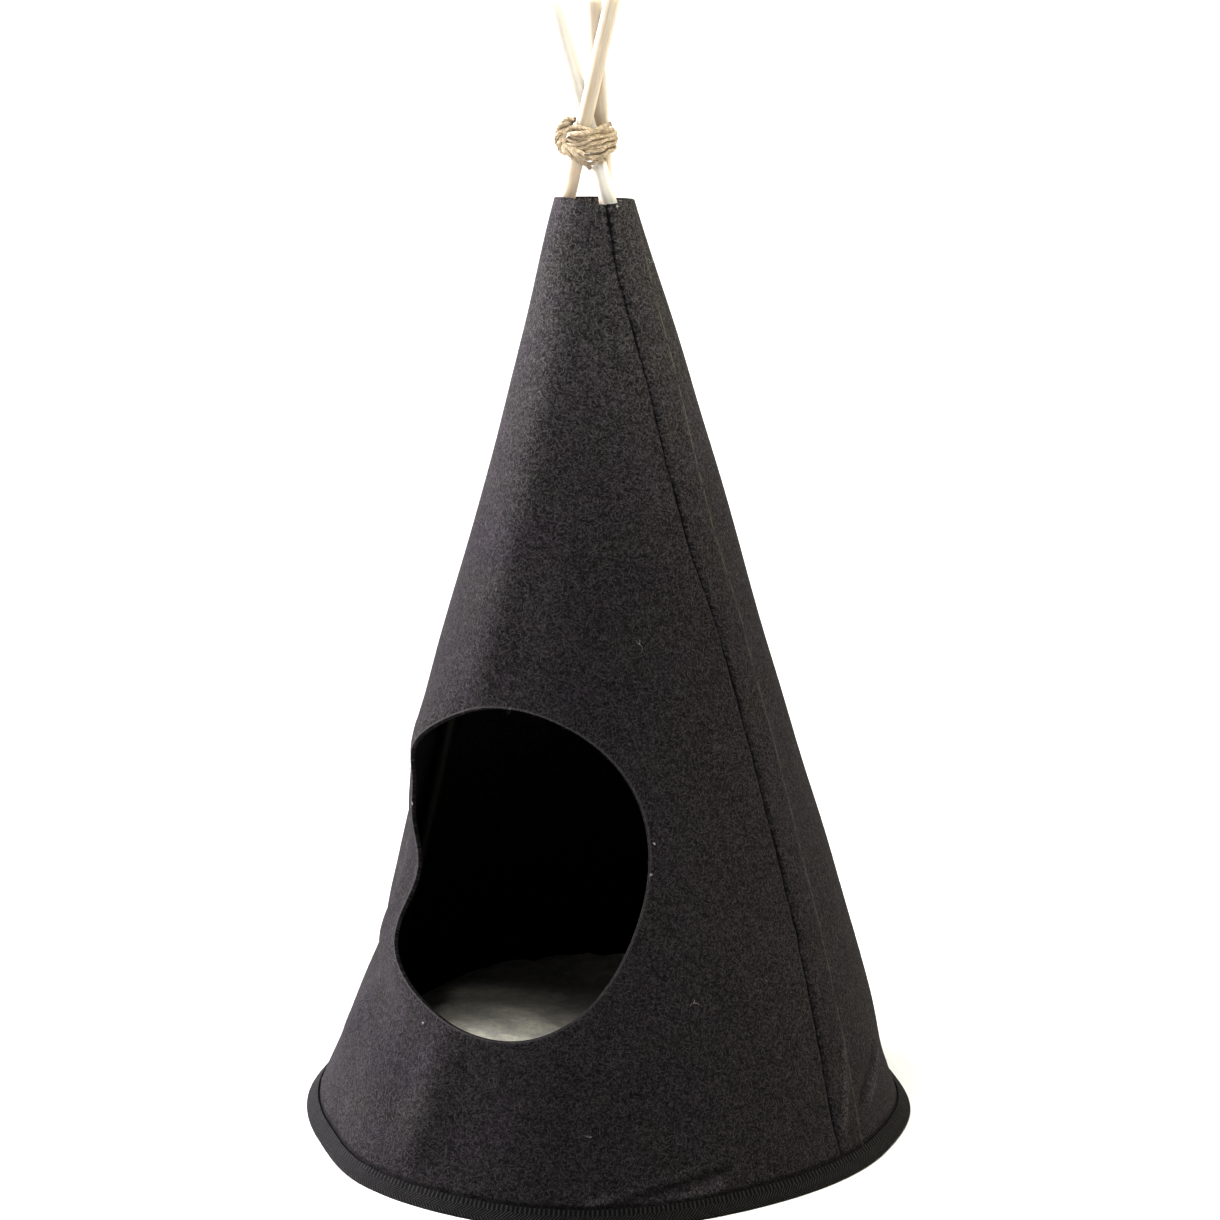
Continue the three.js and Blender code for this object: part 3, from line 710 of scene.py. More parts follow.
def hairs(roots, ways, outs, lengths, width, rng, lift=0.12, curl=0.35):
    """Fine three-sided fibres that leave their roots along ways and arch towards outs."""
    rings, corners = 4, 3
    sides = unit(np.cross(ways, outs))
    lengths = lengths[:, None]
    arch = lift * lengths * rng.uniform(0.3, 1.6, lengths.shape)
    bow = curl * lengths * rng.uniform(-1, 1, lengths.shape)
    points = []
    for t in np.linspace(0, 1, rings):
        rise = outs * (arch * np.sin(np.pi * t * 0.8))
        middle = roots + ways * (lengths * t) + rise + sides * (bow * t * t)
        thick = width * (1 - 0.6 * t)
        for turn in 2 * np.pi * np.arange(corners) / corners:
            points.append(middle + thick * (np.cos(turn) * sides + np.sin(turn) * outs))
    first = rings * corners * np.arange(len(roots))[:, None, None]
    faces = (ring_faces(rings, corners) + first).reshape(-1, 4)
    return np.stack(points, 1).reshape(-1, 3), faces


# --- Felt wall ---


def cone_radius(z):
    return FOOT_R * (1 - z / APEX_Z)


def foot_shift(azimuth):
    azimuths, outs = np.array(FOOT_OUTLINE, float).T
    turn = azimuths[0] + (azimuth - azimuths[0]) % 360
    low = np.clip(np.searchsorted(azimuths, turn, side="right") - 1, 0, len(azimuths) - 2)
    share = smoothstep(turn, azimuths[low], azimuths[low + 1])
    return outs[low] + share * (outs[low + 1] - outs[low])


def beside_seam(azimuth, z):
    return turn_between(look_up(SEAM, z), azimuth) * np.radians(1) * cone_radius(z)


def on_ring(azimuth, r, z):
    a = np.radians(azimuth)
    flat = np.stack([r * np.sin(a), -r * np.cos(a), z + 0 * a], -1)
    return flat + TOP_LEAN * (z / WALL_TOP_Z + 0 * a)[..., None]


def wall_point(azimuth, z):
    above = np.maximum(0, z - ROOT_Z)
    folds = look_up(SEAM_RELIEF, beside_seam(azimuth, z))
    for at, height, span, span_z, out in FOLDS:
        folds = folds + out * bell(turn_between(at, azimuth), span) * bell(z - height, span_z)
    r = cone_radius(z) + ROOT_TURN[0] * np.exp(-above / ROOT_TURN[1])
    r = r + foot_shift(azimuth) * (1 - above / APEX_Z) ** 2
    return on_ring(azimuth, r + folds * smoothstep(above, 0, FOLDS_FROM), z)


def to_pattern(azimuth, z):
    slant = (APEX_Z - z) / np.cos(HALF_ANGLE)
    turn = np.radians(azimuth) * np.sin(HALF_ANGLE)
    return towards(turn, slant)


def from_pattern(points):
    azimuth = np.degrees(polar(points)[0] / np.sin(HALF_ANGLE))
    return azimuth, APEX_Z - np.linalg.norm(points, axis=-1) * np.cos(HALF_ANGLE)


def door_edge_towards(points, inset=0.0):
    way = points - DOOR_MIDDLE
    turn = polar(way)[0]
    r = DOOR_R - inset + sum(out * np.sin(count * turn) for count, out in DOOR_WAVES)
    return DOOR_MIDDLE + unit(way) * r[..., None]


RIPPLES = np.random.default_rng(5)
RIPPLE_WAVES = [
    (unit(RIPPLES.normal(size=3)) * 2 * np.pi / length, RIPPLES.uniform(0, 6.3), 0.0008 * length)
    for length in RIPPLES.uniform(45, 150, 14)
]
# Creases at the foot: points (azimuth, z), how far out and half width
CREASES = (
    (((23.7, 9.5), (29.9, 14), (37.3, 20), (45.1, 24), (51.2, 26)), -1.8, 2.2),
    (((24.5, 13), (31, 10), (40, 12), (49, 17)), 1.0, 3.5),
    (((24.5, 14), (30.5, 19), (38, 25), (45.5, 29)), 0.8, 2.6),
    (((103, 62), (101, 56), (96, 50), (92, 44), (90, 38.5)), -1.6, 2.8),
    (((106, 55), (101, 48), (96, 40), (93, 34)), 1.0, 3.5),
    (((88, 84), (86.8, 72), (85, 53), (82, 30)), 1.1, 3.0),
)
# Soft ridges of the whole cloth: points (azimuth, z), how far out and half width
RIDGES = (
    (((-8, 92), (-9.9, 52), (-13.5, 14)), 4.5, 13),
    (((-4, 620), (-4, 540), (-9.7, 471), (-13.5, 403), (-15.5, 352)), 3.7, 13),
)


def distance_to_line(points, line):
    best = np.full(points.shape[:-1], np.inf)
    for a, b in zip(line, line[1:]):
        way = b - a
        share = np.clip(((points - a) @ way) / (way @ way), 0, 1)
        best = np.minimum(best, np.linalg.norm(points - a - share[..., None] * way, axis=-1))
    return best


def crease_relief(azimuth, z):
    foot = np.stack([np.radians(azimuth) * FOOT_R, z], -1)
    relief = 0.0
    for line, out, width in CREASES:
        way = np.array([[np.radians(a) * FOOT_R, h] for a, h in line])
        relief = relief + out * bell(distance_to_line(foot, way), width)
    return relief


def cloth_relief(azimuth, z, at):
    """What the cloth's fine folds add: (both faces, outer face alone), in millimetres outwards."""
    both = sum(out * np.sin(at @ wave + phase) for wave, phase, out in RIPPLE_WAVES)
    both = both * smoothstep(z, 15, 60)
    here = np.stack([np.radians(azimuth) * cone_radius(z), z], -1)
    for line, out, width in RIDGES:
        way = np.array([[np.radians(a) * cone_radius(h), h] for a, h in line])
        ridge = out * bell(distance_to_line(here, way), width)
        both = both + ridge * smoothstep(z, 12, 34) * smoothstep(z, 640, 520)
    beside = beside_seam(azimuth, z)
    near = np.exp(-np.abs(beside) / 10) * smoothstep(z, 20, 60)
    pucker = np.sin(z / 2.9 + 1.3 * np.sin(z / 21)) + 0.7 * np.sin(z / 4.3 + 2)
    outer = 0.25 * near * pucker + 0.7 * bell(beside, 1.4) * smoothstep(z, 20, 60)
    outer = outer + crease_relief(azimuth, z)
    gathers = np.sin(np.radians(azimuth) * 61) + 0.8 * np.sin(np.radians(azimuth) * 97 + 1)
    both = both + 0.22 * gathers * np.exp(-np.maximum(z - 14, 0) / 9) * smoothstep(z, 10, 14)
    return both, outer


def wall_skins(azimuth, z):
    azimuth, z = np.broadcast_arrays(np.asarray(azimuth, float), np.asarray(z, float))
    middle = wall_point(azimuth, z)
    across = wall_point(azimuth + 0.6, z) - wall_point(azimuth - 0.6, z)
    up = wall_point(azimuth, z + 2.5) - wall_point(azimuth, z - 2.5)
    normal = unit(np.cross(across, up))
    both, outer = cloth_relief(azimuth, z, middle)
    return middle + (both + outer)[..., None] * normal, middle + (both - FELT)[..., None] * normal


def flange(length, depth):
    c, s = np.cos(FLANGE_SLOPE), np.sin(FLANGE_SLOPE)
    return ROOT_R + length * c - depth * s, ROOT_Z - length * s - depth * c


def flange_at_height(z, depth):
    return flange((flange(0, depth)[1] - z) / np.sin(FLANGE_SLOPE), depth)


# Columns of the wall's grid: from an azimuth, then from distances beside the seam
FIRST_AZIMUTH = -56
BESIDE_SEAM = (-8, -3, 3, 24, 32)
COLUMN_COUNTS = (118, 4, 10, 7, 5, 138)
SEAM_COLUMN = 118 + 4 + 5
# Its rows: from one height to another, and how many
ROW_KNOTS = ((13, 46, 12), (46, 86, 9), (86, 362, 60), (362, 640, 52), (640, 667, 7))
# The part of the grid that the doorway's rings take the place of
DOOR_STRETCH_Z = (86, 362)
DOOR_STRETCH_COLUMNS = 96
DOOR_SHARES = np.array([
    0, 0.01, 0.025, 0.045, 0.07, 0.1, 0.14, 0.19, 0.25, 0.31, 0.38, 0.45, 0.52, 0.6, 0.68, 0.76,
    0.84, 0.92, 1,
])
# A cut edge, as shares of the thickness and how far it stands out
EDGE_OUT = 0.5
CUT_EDGE = ((0.05, 0.28), (0.28, EDGE_OUT), (0.72, EDGE_OUT), (0.95, 0.28))


def column_azimuths(z):
    beside = look_up(SEAM, z) + np.degrees(np.array(BESIDE_SEAM) / cone_radius(z))
    marks = [FIRST_AZIMUTH, *beside, FIRST_AZIMUTH + 360]
    runs = zip(marks, marks[1:], COLUMN_COUNTS)
    return np.concatenate([np.linspace(a, b, n, endpoint=False) for a, b, n in runs])


class Sheet:
    """Both skins of a cloth, with the azimuth and height of each point for its flat pattern."""

    def __init__(self):
        self.points, self.spots, self.count = [], [], 0
        self.quads, self.turned, self.inside = [], [], []

    def add(self, points, azimuth, z):
        azimuth, z = np.broadcast_arrays(np.asarray(azimuth, float), np.asarray(z, float))
        index = self.count + np.arange(azimuth.size).reshape(azimuth.shape)
        self.points.append(points.reshape(-1, 3))
        self.spots.append(np.stack([azimuth.ravel(), z.ravel()], 1))
        self.count += azimuth.size
        return index

    def quad(self, a, b, c, d, turned=False, inside=0):
        made = np.stack([a, b, c, d], -1).reshape(-1, 4)
        self.quads.append(made)
        self.turned.append(np.broadcast_to(turned, a.shape).reshape(-1))
        self.inside.append(np.full(len(made), inside))

    def piece(self, name, material):
        """The inside is 0 on the outer skin, 0.5 on a cut edge and 1 on the inner skin."""
        faces = np.vstack(self.quads)
        azimuth, z = np.moveaxis(np.vstack(self.spots)[faces], -1, 0)
        past_seam = np.concatenate(self.turned)[:, None] & (azimuth > 0)
        pattern = to_pattern(np.where(past_seam, azimuth - 360, azimuth), z)
        beside = np.clip(beside_seam(azimuth, z), -50, 50)
        seam = np.stack([beside, z / np.cos(HALF_ANGLE)], -1) * MM
        reach = np.linalg.norm(door_edge_towards(pattern) - DOOR_MIDDLE, axis=-1)
        past_edge = np.clip(np.linalg.norm(pattern - DOOR_MIDDLE, axis=-1) - reach, -5, 20) * MM
        inside = np.concatenate(self.inside)[:, None] + 0 * z
        edge = np.stack([past_edge, inside], -1)
        crease = np.stack([crease_relief(azimuth, z), 0 * z], -1) * MM
        layers = {"UVMap": pattern * MM, "Seam": seam, "Edge": edge, "Crease": crease}
        return piece_from(name, np.vstack(self.points), faces, material, **layers)


def make_wall(material):
    sheet = Sheet()
    near, far = TAPE + FLANGE_GAP, TAPE + FLANGE_GAP + FELT
    azimuth = column_azimuths(0)
    ends = [flange_at_height(near, depth) for depth in (near, far)]
    roots = [flange(0, depth) for depth in (near, far)]
    end_outer, end_inner, root_outer, root_inner = [
        sheet.add(on_ring(azimuth, r + foot_shift(azimuth), z), azimuth, z)
        for r, z in (*ends, *roots)
    ]
    heights = np.concatenate([np.linspace(a, b, n, endpoint=False) for a, b, n in ROW_KNOTS])
    first, last = [int(np.argmin(np.abs(heights - z))) for z in DOOR_STRETCH_Z]
    azimuths = np.stack([column_azimuths(z) for z in heights])
    top_azimuth = column_azimuths(WALL_TOP_Z)
    top_z = WALL_TOP_Z - EDGE_OUT + look_up(TOP_EDGE, turn_between(0, top_azimuth))
    grid_z = np.vstack([np.repeat(heights[:, None], azimuths.shape[1], 1), top_z])
    azimuths = np.vstack([azimuths, top_azimuth])
    outer_points, inner_points = wall_skins(azimuths, grid_z)
    outer = np.vstack([end_outer, root_outer, sheet.add(outer_points, azimuths, grid_z)])
    inner = np.vstack([end_inner, root_inner, sheet.add(inner_points, azimuths, grid_z)])

    height, width = outer.shape
    rows, columns = np.meshgrid(np.arange(height - 1), np.arange(width), indexing="ij")
    in_door = (rows - 2 >= first) & (rows - 2 < last) & (columns < DOOR_STRETCH_COLUMNS)
    rows, columns = rows[~in_door], columns[~in_door]
    nexts = (columns + 1) % width
    corners = [(rows, columns), (rows, nexts), (rows + 1, nexts), (rows + 1, columns)]
    turned = columns >= SEAM_COLUMN
    sheet.quad(*(outer[corner] for corner in corners), turned)
    sheet.quad(*(inner[corner] for corner in corners[::-1]), turned, inside=1)

    every = np.arange(width)
    after = np.roll(every, -1)
    turned = every >= SEAM_COLUMN
    sheet.quad(outer[0][after], outer[0][every], inner[0][every], inner[0][after], turned)
    add_cut_edge(sheet, outer[-1], inner[-1], lambda out: (top_azimuth, top_z + out), turned)
    door = slice(first, last + 1)
    add_doorway(sheet, outer[2:][door], inner[2:][door], azimuths[door], grid_z[door])
    return sheet.piece("felt_wall", material)


def add_cut_edge(sheet, outer, inner, place, turned=False):
    """Joins both skins along a free edge; place(out) gives azimuth and z that far past it."""
    loops = [outer]
    for share, out in CUT_EDGE:
        azimuth, z = place(out)
        skins = wall_skins(azimuth, z)
        loops.append(sheet.add(skins[0] + share * (skins[1] - skins[0]), azimuth, z))
    loops.append(inner)
    for near, far in zip(loops, loops[1:]):
        sheet.quad(near, np.roll(near, -1), np.roll(far, -1), far, turned, inside=0.5)


def add_doorway(sheet, outer, inner, azimuths, heights):
    """Rings of points from the doorway's cut edge out to the grid of rows and columns."""
    last_row, width = outer.shape[0] - 1, DOOR_STRETCH_COLUMNS
    loop = [(0, i) for i in range(width)]
    loop += [(i, width) for i in range(last_row)]
    loop += [(last_row, i) for i in range(width, 0, -1)]
    loop += [(i, 0) for i in range(last_row, 0, -1)]
    rows, columns = np.array(loop).T
    corners = to_pattern(azimuths[rows, columns], heights[rows, columns])
    edge = door_edge_towards(corners)
    rings = []
    for share in DOOR_SHARES[:-1]:
        azimuth, z = from_pattern(edge + share * (corners - edge))
        skins = wall_skins(azimuth, z)
        rings.append([sheet.add(skin, azimuth, z) for skin in skins])
    rings.append([outer[rows, columns], inner[rows, columns]])
    for (near, near_in), (far, far_in) in zip(rings, rings[1:]):
        sheet.quad(far, np.roll(far, -1), np.roll(near, -1), near)
        sheet.quad(near_in, np.roll(near_in, -1), np.roll(far_in, -1), far_in, inside=1)
    add_cut_edge(sheet, *rings[0], lambda out: from_pattern(door_edge_towards(corners, out)))


def make_wall_fuzz(material):
    """Loose fibres on the outer face, thicker along the doorway's cut edge."""
    rng = np.random.default_rng(11)
    on_cloth, on_edge = 5000, 420
    highest, lowest = 110, 785
    slant = np.sqrt(rng.uniform(highest**2, lowest**2, on_cloth))
    turn = rng.uniform(-1, 1, on_cloth) * np.pi * np.sin(HALF_ANGLE)
    pattern = towards(turn, slant)
    away = np.linalg.norm(pattern - DOOR_MIDDLE, axis=1)
    pattern = pattern[away > DOOR_R + 5]
    way = unit(rng.normal(size=(on_edge, 2)))
    cut = door_edge_towards(DOOR_MIDDLE + way * 50)
    pattern = np.vstack([pattern, cut + way * rng.uniform(0, 2, (on_edge, 1))])
    azimuth, z = from_pattern(pattern)
    keep = (z > 16) & (z < 668)
    skin, inner = wall_skins(azimuth[keep], z[keep])
    outs = unit(skin - inner)
    ways = unit(square_to(outs, rng) + 0.12 * outs)
    lengths = rng.gamma(4.0, 0.75, len(skin))
    points, faces = hairs(skin + 0.02 * outs, ways, outs, lengths, 0.07, rng)
    return piece_from("felt_fuzz", points, faces, material)


# Lint on the cloth: azimuth, z, how many fibres and their length
LINT = (
    (56.1, 668.6, 26, 1.3), (41.3, 246.5, 20, 1.1), (39.9, 226.4, 20, 1.1),
    (-15.3, 114.1, 20, 1.1), (-42.3, 246.5, 16, 1.2), (94, 628.7, 2, 6), (41.4, 378.3, 3, 5),
    (24.7, 57, 2, 6), (48, 139, 3, 5),
)


def make_lint(material):
    rng = np.random.default_rng(8)
    parts = []
    for azimuth, z, count, length in LINT:
        skin, inner = wall_skins(azimuth, z)
        out = unit(skin - inner)
        outs = np.repeat(out[None], count, 0)
        ways = square_to(outs, rng)
        roots = skin + 0.15 * out + ways * rng.uniform(0, 0.35, (count, 1))
        lengths = length * rng.uniform(0.5, 1.1, count)
        points, faces = hairs(roots, ways, outs, lengths, 0.1, rng, lift=0.5, curl=0.9)
        parts.append((points, faces, np.zeros((0, 2))))
    points, faces, _ = joined(parts)
    return piece_from("lint", points, faces, material)


# --- Foot: floor and tape ---


def to_foot(points):
    """Points of a round foot moved to the real outline, and leaned like the wall."""
    azimuth, r = polar(points)
    out = foot_shift(np.degrees(azimuth)) * smoothstep(r, 0.3 * ROOT_R, 0.9 * ROOT_R)
    scale = np.where(r > 0, (r + out) / np.maximum(r, 1e-9), 1)
    return widened(points, scale) + TOP_LEAN * (points[..., 2:] / WALL_TOP_Z)


def make_floor_panel(material):
    inner = TAPE + FELT + 2 * FLANGE_GAP
    outer = inner + FELT
    tail_z = TAPE + FLANGE_GAP
    rim = [
        (150, 0), (203.2, 0), (205.6, 1.6), (207, 4.2), flange(0, outer),
        flange_at_height(tail_z, outer), flange_at_height(tail_z, inner), flange(0, inner),
        (209.9, 9), (206.2, 6.6), (204.6, 4.6), (203, FELT), (150, FELT),
    ]
    flat = range(10, 150, 20)
    profile = [*((r, 0) for r in flat), *rim, *((r, FELT) for r in flat[::-1])]
    points, faces = closed_turn(to_foot(revolved(profile, columns=144)), 0, FELT)
    uv = np.vstack([points[list(face)][:, :2] for face in faces]) * MM
    return piece_from("floor_panel", points, faces, material, UVMap=uv)


def make_tape(material):
    """A folded band, round at both edges, that is a little slack along its upper one."""
    columns, half = 480, TAPE / 2
    under = 2 * TAPE + 2 * FELT + 3 * FLANGE_GAP - half
    line = [
        flange(0.4, half), flange(6, half), flange(11, half), (224.35, 1.5), (224.75, 0.85),
        (224.2, 0.52), (219, 0.5), (214.1, 0.5), (213.2, 0.8), flange(3, under), flange(0.9, under),
    ]
    middle = evenly(catmull_rom(line, 8), 0.8)
    way = unit(np.gradient(middle, axis=0))
    square = np.stack([way[:, 1], -way[:, 0]], 1)
    turn = np.radians([[-60], [-20], [20], [60]])
    first, last = [
        middle[end] + half * (sign * np.cos(turn) * way[end] + np.sin(turn) * square[end])
        for end, sign in ((0, -1), (-1, 1))
    ]
    outer, inner = middle - half * square, middle + half * square
    outline = np.vstack([outer, last, inner[::-1], first[::-1]])
    along = lengths_along(middle)
    v = np.r_[along, np.full(4, along[-1]), along[::-1], np.zeros(4)]
    rings = revolved(outline, columns)
    slack = sum(
        out * np.sin(count * turn_of(columns) + phase)
        for count, out, phase in ((47, 0.12, 0), (83, 0.1, 1), (19, 0.12, 2))
    )
    rings[..., 2] += slack * smoothstep(rings[..., 2], 2, 7)
    rings[..., 2] = np.maximum(rings[..., 2], 0)
    faces = ring_faces(len(outline), columns, is_closed=True)[:, ::-1]
    row, column = rows_and_columns(faces, columns)
    uv = np.stack([column * (2 * np.pi * TAPE_R / columns), v[row]], -1) * MM
    return piece_from("foot_tape", to_foot(rings).reshape(-1, 3), faces, material, UVMap=uv)


# --- Cushion ---


def cushion_radius_change(points):
    azimuth, r = polar(points)
    azimuth = np.degrees(azimuth)
    span, depth = CUSHION_PRESS
    press = np.max([bell(turn_between(at, azimuth), span) for at, _, _ in POLES.values()], axis=0)
    waves = sum(out * np.sin(np.radians(n * azimuth + turn)) for n, out, turn in CUSHION_PUCKERS)
    return (waves - depth * press) * (r / CUSHION_SEAM_R) ** 6


def move_out(points, out):
    return widened(points, 1 + out / np.maximum(polar(points)[1], 1e-6))


def baked(piece):
    """Puts what the piece's modifiers make into its mesh."""
    graph = bpy.context.evaluated_depsgraph_get()
    mesh = bpy.data.meshes.new_from_object(piece.evaluated_get(graph))
    piece.modifiers.clear()
    piece.data = mesh


def mesh_points(mesh):
    points = np.empty(len(mesh.vertices) * 3, np.float32)
    mesh.vertices.foreach_get("co", points)
    return points.reshape(-1, 3).astype(float) / MM


def set_points(mesh, points):
    mesh.vertices.foreach_set("co", (np.ravel(points) * MM).astype(np.float32))
    mesh.update()


def swell(piece):
    """Lets the filling press the cover out, in a short cloth simulation.

    The base and the side seam are held, and no point moves further than CUSHION_SWELL.
    """
    frames = 20
    start = mesh_points(piece.data)
    on_seam = np.abs(start[:, 2] - CUSHION_SEAM_Z) < 3.5
    on_seam &= polar(start)[1] > 0.9 * CUSHION_SEAM_R
    held = np.flatnonzero(on_seam | (start[:, 2] < FELT + GAP + 3))
    group = piece.vertex_groups.new(name="held")
    group.add(held.tolist(), 1.0, "REPLACE")
    cloth = piece.modifiers.new("cloth", "CLOTH")
    stiffness = {"tension": 12, "compression": 12, "shear": 5, "bending": 0.4}
    set_all(cloth.settings, **{name + "_stiffness": value for name, value in stiffness.items()})
    pressure = {"use_pressure": True, "uniform_pressure_force": 4, "vertex_group_mass": group.name}
    set_all(cloth.settings, quality=5, mass=0.3, shrink_min=-0.02, **pressure)
    cloth.settings.effector_weights.gravity = 0
    cloth.point_cache.frame_end = frames
    for frame_number in range(1, frames + 1):
        SCENE.frame_set(frame_number)
    baked(piece)
    SCENE.frame_set(1)
    move = mesh_points(piece.data) - start
    length = np.linalg.norm(move, axis=1, keepdims=True)
    set_points(piece.data, start + move * np.minimum(1, CUSHION_SWELL / np.maximum(length, 1e-6)))


def sew(cushion):
    """Draws the cover in along its side seam, with small puckers, and creases its top."""
    points = mesh_points(cushion.data)
    azimuth, r = polar(points)
    at_side = smoothstep(r, 0.8 * CUSHION_SEAM_R, 0.93 * CUSHION_SEAM_R)
    above = points[:, 2] - CUSHION_SEAM_Z
    pucker = np.sin(74 * azimuth + 2 * np.sin(9 * azimuth)) * np.exp(-np.abs(above) / 8)
    points = move_out(points, at_side * (0.5 * pucker - 3 * bell(above, 2.5)))
    on_top = smoothstep(points[:, 2], 45, 62)
    for line, out, width in CUSHION_CREASES:
        away = distance_to_line(points[:, :2], np.array(line, float))
        points[:, 2] += on_top * out * bell(away, width)
    set_points(cushion.data, points)


def make_cushion(material):
    """The cover at first a little too small, then swollen."""
    base = FELT + GAP
    flat = [(r, 0) for r in (15, 45, 75, 105, 130)]
    crown = [(r, CUSHION_HEIGHT - 1 + (1 - (r / 60) ** 2)) for r in (48, 32, 16)]
    profile = catmull_rom([*flat, *CUSHION_PROFILE, *crown], 3) + [0, base]
    rings = revolved(profile, columns=120)
    rings = move_out(rings, cushion_radius_change(rings))
    on_top = smoothstep(rings[..., 2], 35, 60)
    for x, y, span, out in CUSHION_DIMPLES:
        rings[..., 2] += on_top * out * bell(polar(rings - [x, y, 0])[1], span)
    points, faces = closed_turn(rings, rings[0, 0, 2], rings[-1, :, 2].mean())
    points[:, :2] *= 1 - CUSHION_SWELL / CUSHION_SEAM_R
    points[:, 2] = base + (points[:, 2] - FELT - GAP) * (1 - CUSHION_SWELL / CUSHION_HEIGHT)
    cushion = piece_from("plush_cushion", points, faces, material)
    cushion.modifiers.new("remesh", "REMESH").voxel_size = 0.005
    baked(cushion)
    swell(cushion)
    sew(cushion)
    cushion.modifiers.new("smooth", "SUBSURF").levels = 1
    baked(cushion)
    cushion.data.polygons.foreach_set("use_smooth", np.ones(len(cushion.data.polygons), bool))
    return cushion


# --- Poles and twine ---


def pole_axis(name):
    azimuth, tie_x, tie_y = POLES[name]
    r = POLE_FOOT_R + float(foot_shift(np.array(float(azimuth))))
    a = np.radians(azimuth)
    foot = np.array([r * np.sin(a), -r * np.cos(a), FELT + GAP + POLE_R])
    return foot, unit(np.array([tie_x, tie_y, TIE_Z]) - foot)


def make_pole(name, shift):
    """A rod turned about its own +Z, with rounded ends and a slight bend, laid along its axis."""
    foot, way = pole_axis(name)
    low_turn, high_turn = np.radians([[0, 22, 45, 68, 90], [90, 60, 30, 10, 0]])
    low_r, high_r = 3.6, 1.6
    low, high = POLE_R - low_r, POLE_R - high_r
    top = POLE_LENGTH - POLE_R
    profile = [
        (0.6 * low, -POLE_R),
        *((low + low_r * np.sin(t), -POLE_R + low_r * (1 - np.cos(t))) for t in low_turn),
        *((POLE_R, h) for h in np.linspace(10, top - 10, 40)),
        *((POLE_R - high_r * (1 - np.sin(t)), top - high_r * (1 - np.cos(t))) for t in high_turn),
        (0.5 * high, top),
    ]
    rings = revolved(profile, columns=32)
    heights = rings[..., 2]
    rings[..., 0] += 0.12 * np.sin(heights / 95 + 9 * shift)
    rings[..., 1] += 0.12 * np.sin(heights / 120 + 5 * shift)
    wood = wood_material(shift, *(WHITE_BIRCH if name == "pole_right" else BIRCH))
    made = piece_from("rod_" + name.split("_")[1], *closed_turn(rings, -POLE_R, top), wood)
    put_upright(made, Vector(foot * MM), Vector(way))
    return part(made, "wood", name)


def pole_middles(z):
    made = []
    for name in POLES:
        foot, way = pole_axis(name)
        made.append(foot + way * ((np.asarray(z) - foot[2]) / way[2])[..., None])
    return np.array(made)


def round_the_tie(turn, front, right, back, left):
    """A value that passes through these four as the turn goes round, 0 at the front."""
    mean, even = (front + right + back + left) / 4, (front + back - right - left) / 4
    odd = (front - back) / 2 * np.cos(turn) + (right - left) / 2 * np.sin(turn)
    return mean + odd + even * np.cos(2 * turn)


def turns(first, count, middles_up, spreads, clear, pile, rng):
    """Turns of twine round the poles, from an azimuth on.

    Their heights, and how far they spread up and down, are given at the front, right, back and
    left; every second turn lies further out by the pile.
    """
    azimuth = np.arange(first, first + count * 360, 2.0)
    turn = np.radians(azimuth - CAMERA_AZIMUTH)
    waves = zip((0.6, 0.5, 0.4, 0.3), (0.37, 0.71, 1.9, 4.3), rng.uniform(0, 6, 4))
    wander = sum(a * np.sin(turn * f + p) for a, f, p in waves)
    rise = np.linspace(-1, 1, len(azimuth))
    z = TIE_Z + round_the_tie(turn, *middles_up) + rise * round_the_tie(turn, *spreads) + wander
    facing = np.column_stack([towards(np.radians(azimuth)), 0 * azimuth])
    middles = pole_middles(z)
    best = np.argmax(np.einsum("pni,ni->pn", middles, facing), axis=0)
    out = POLE_R + clear + pile * (1 - rise**4) * (0.5 + 0.5 * np.sin(turn / 2 + 0.3 * wander))
    return middles[best, np.arange(len(azimuth))] + facing * out[:, None]


def at_tie(path):
    """Points given across, towards the camera and up from the middle of the tie."""
    a = np.radians(CAMERA_AZIMUTH)
    across, front = np.array([np.cos(a), np.sin(a), 0]), np.array([np.sin(a), -np.cos(a), 0])
    middle = pole_middles(np.array([float(TIE_Z)])).mean(axis=(0, 1))
    path = np.asarray(path, float)
    return middle + path[:, :1] * across + path[:, 1:2] * front + path[:, 2:] * [0, 0, 1]


# Each starts at its cut end
KNOT = (
    (-12.4, 9, 15.2), (-14.6, 9, 16.2), (-17.8, 9.5, 14.6), (-20.6, 10, 11.6), (-22.3, 10, 7.8),
    (-22.8, 10, 3.6), (-22, 10.5, -0.2), (-19.6, 12.5, -3), (-16, 16, -4.4), (-10.5, 19, -5.7),
    (-5, 19.4, -6.8),
)
KNOT_INSIDE = (
    (2, 11, 9), (-3, 16, 10.6), (-8, 17, 12), (-13.2, 14.5, 12), (-16.6, 12.5, 10.2),
    (-18.9, 11.5, 7), (-19.6, 12, 2.9), (-18.9, 13.5, -0.8), (-16.2, 16.5, -2.6), (-11.8, 19, -4),
    (-7, 19.8, -5.2),
)
RIGHT_END = (
    (13, 4, 13.3), (9.2, 7.5, 12.4), (5.2, 11, 11.2), (1.8, 14, 9.8), (-1.6, 17, 9.1),
    (-5.7, 19.5, 8.4), (-10.5, 19, 8.2), (-15, 15.5, 7.6),
)
ACROSS_LEGS = (
    (9, 7, -10.5), (6.5, 9.5, -11.9), (1.8, 9.4, -12.6), (-2, 9.2, -13.6), (-6.4, 12.6, -11.2),
    (-10.4, 14.8, -9.2), (-14.5, 13.4, -7.6), (-17.5, 10, -5.5),
)
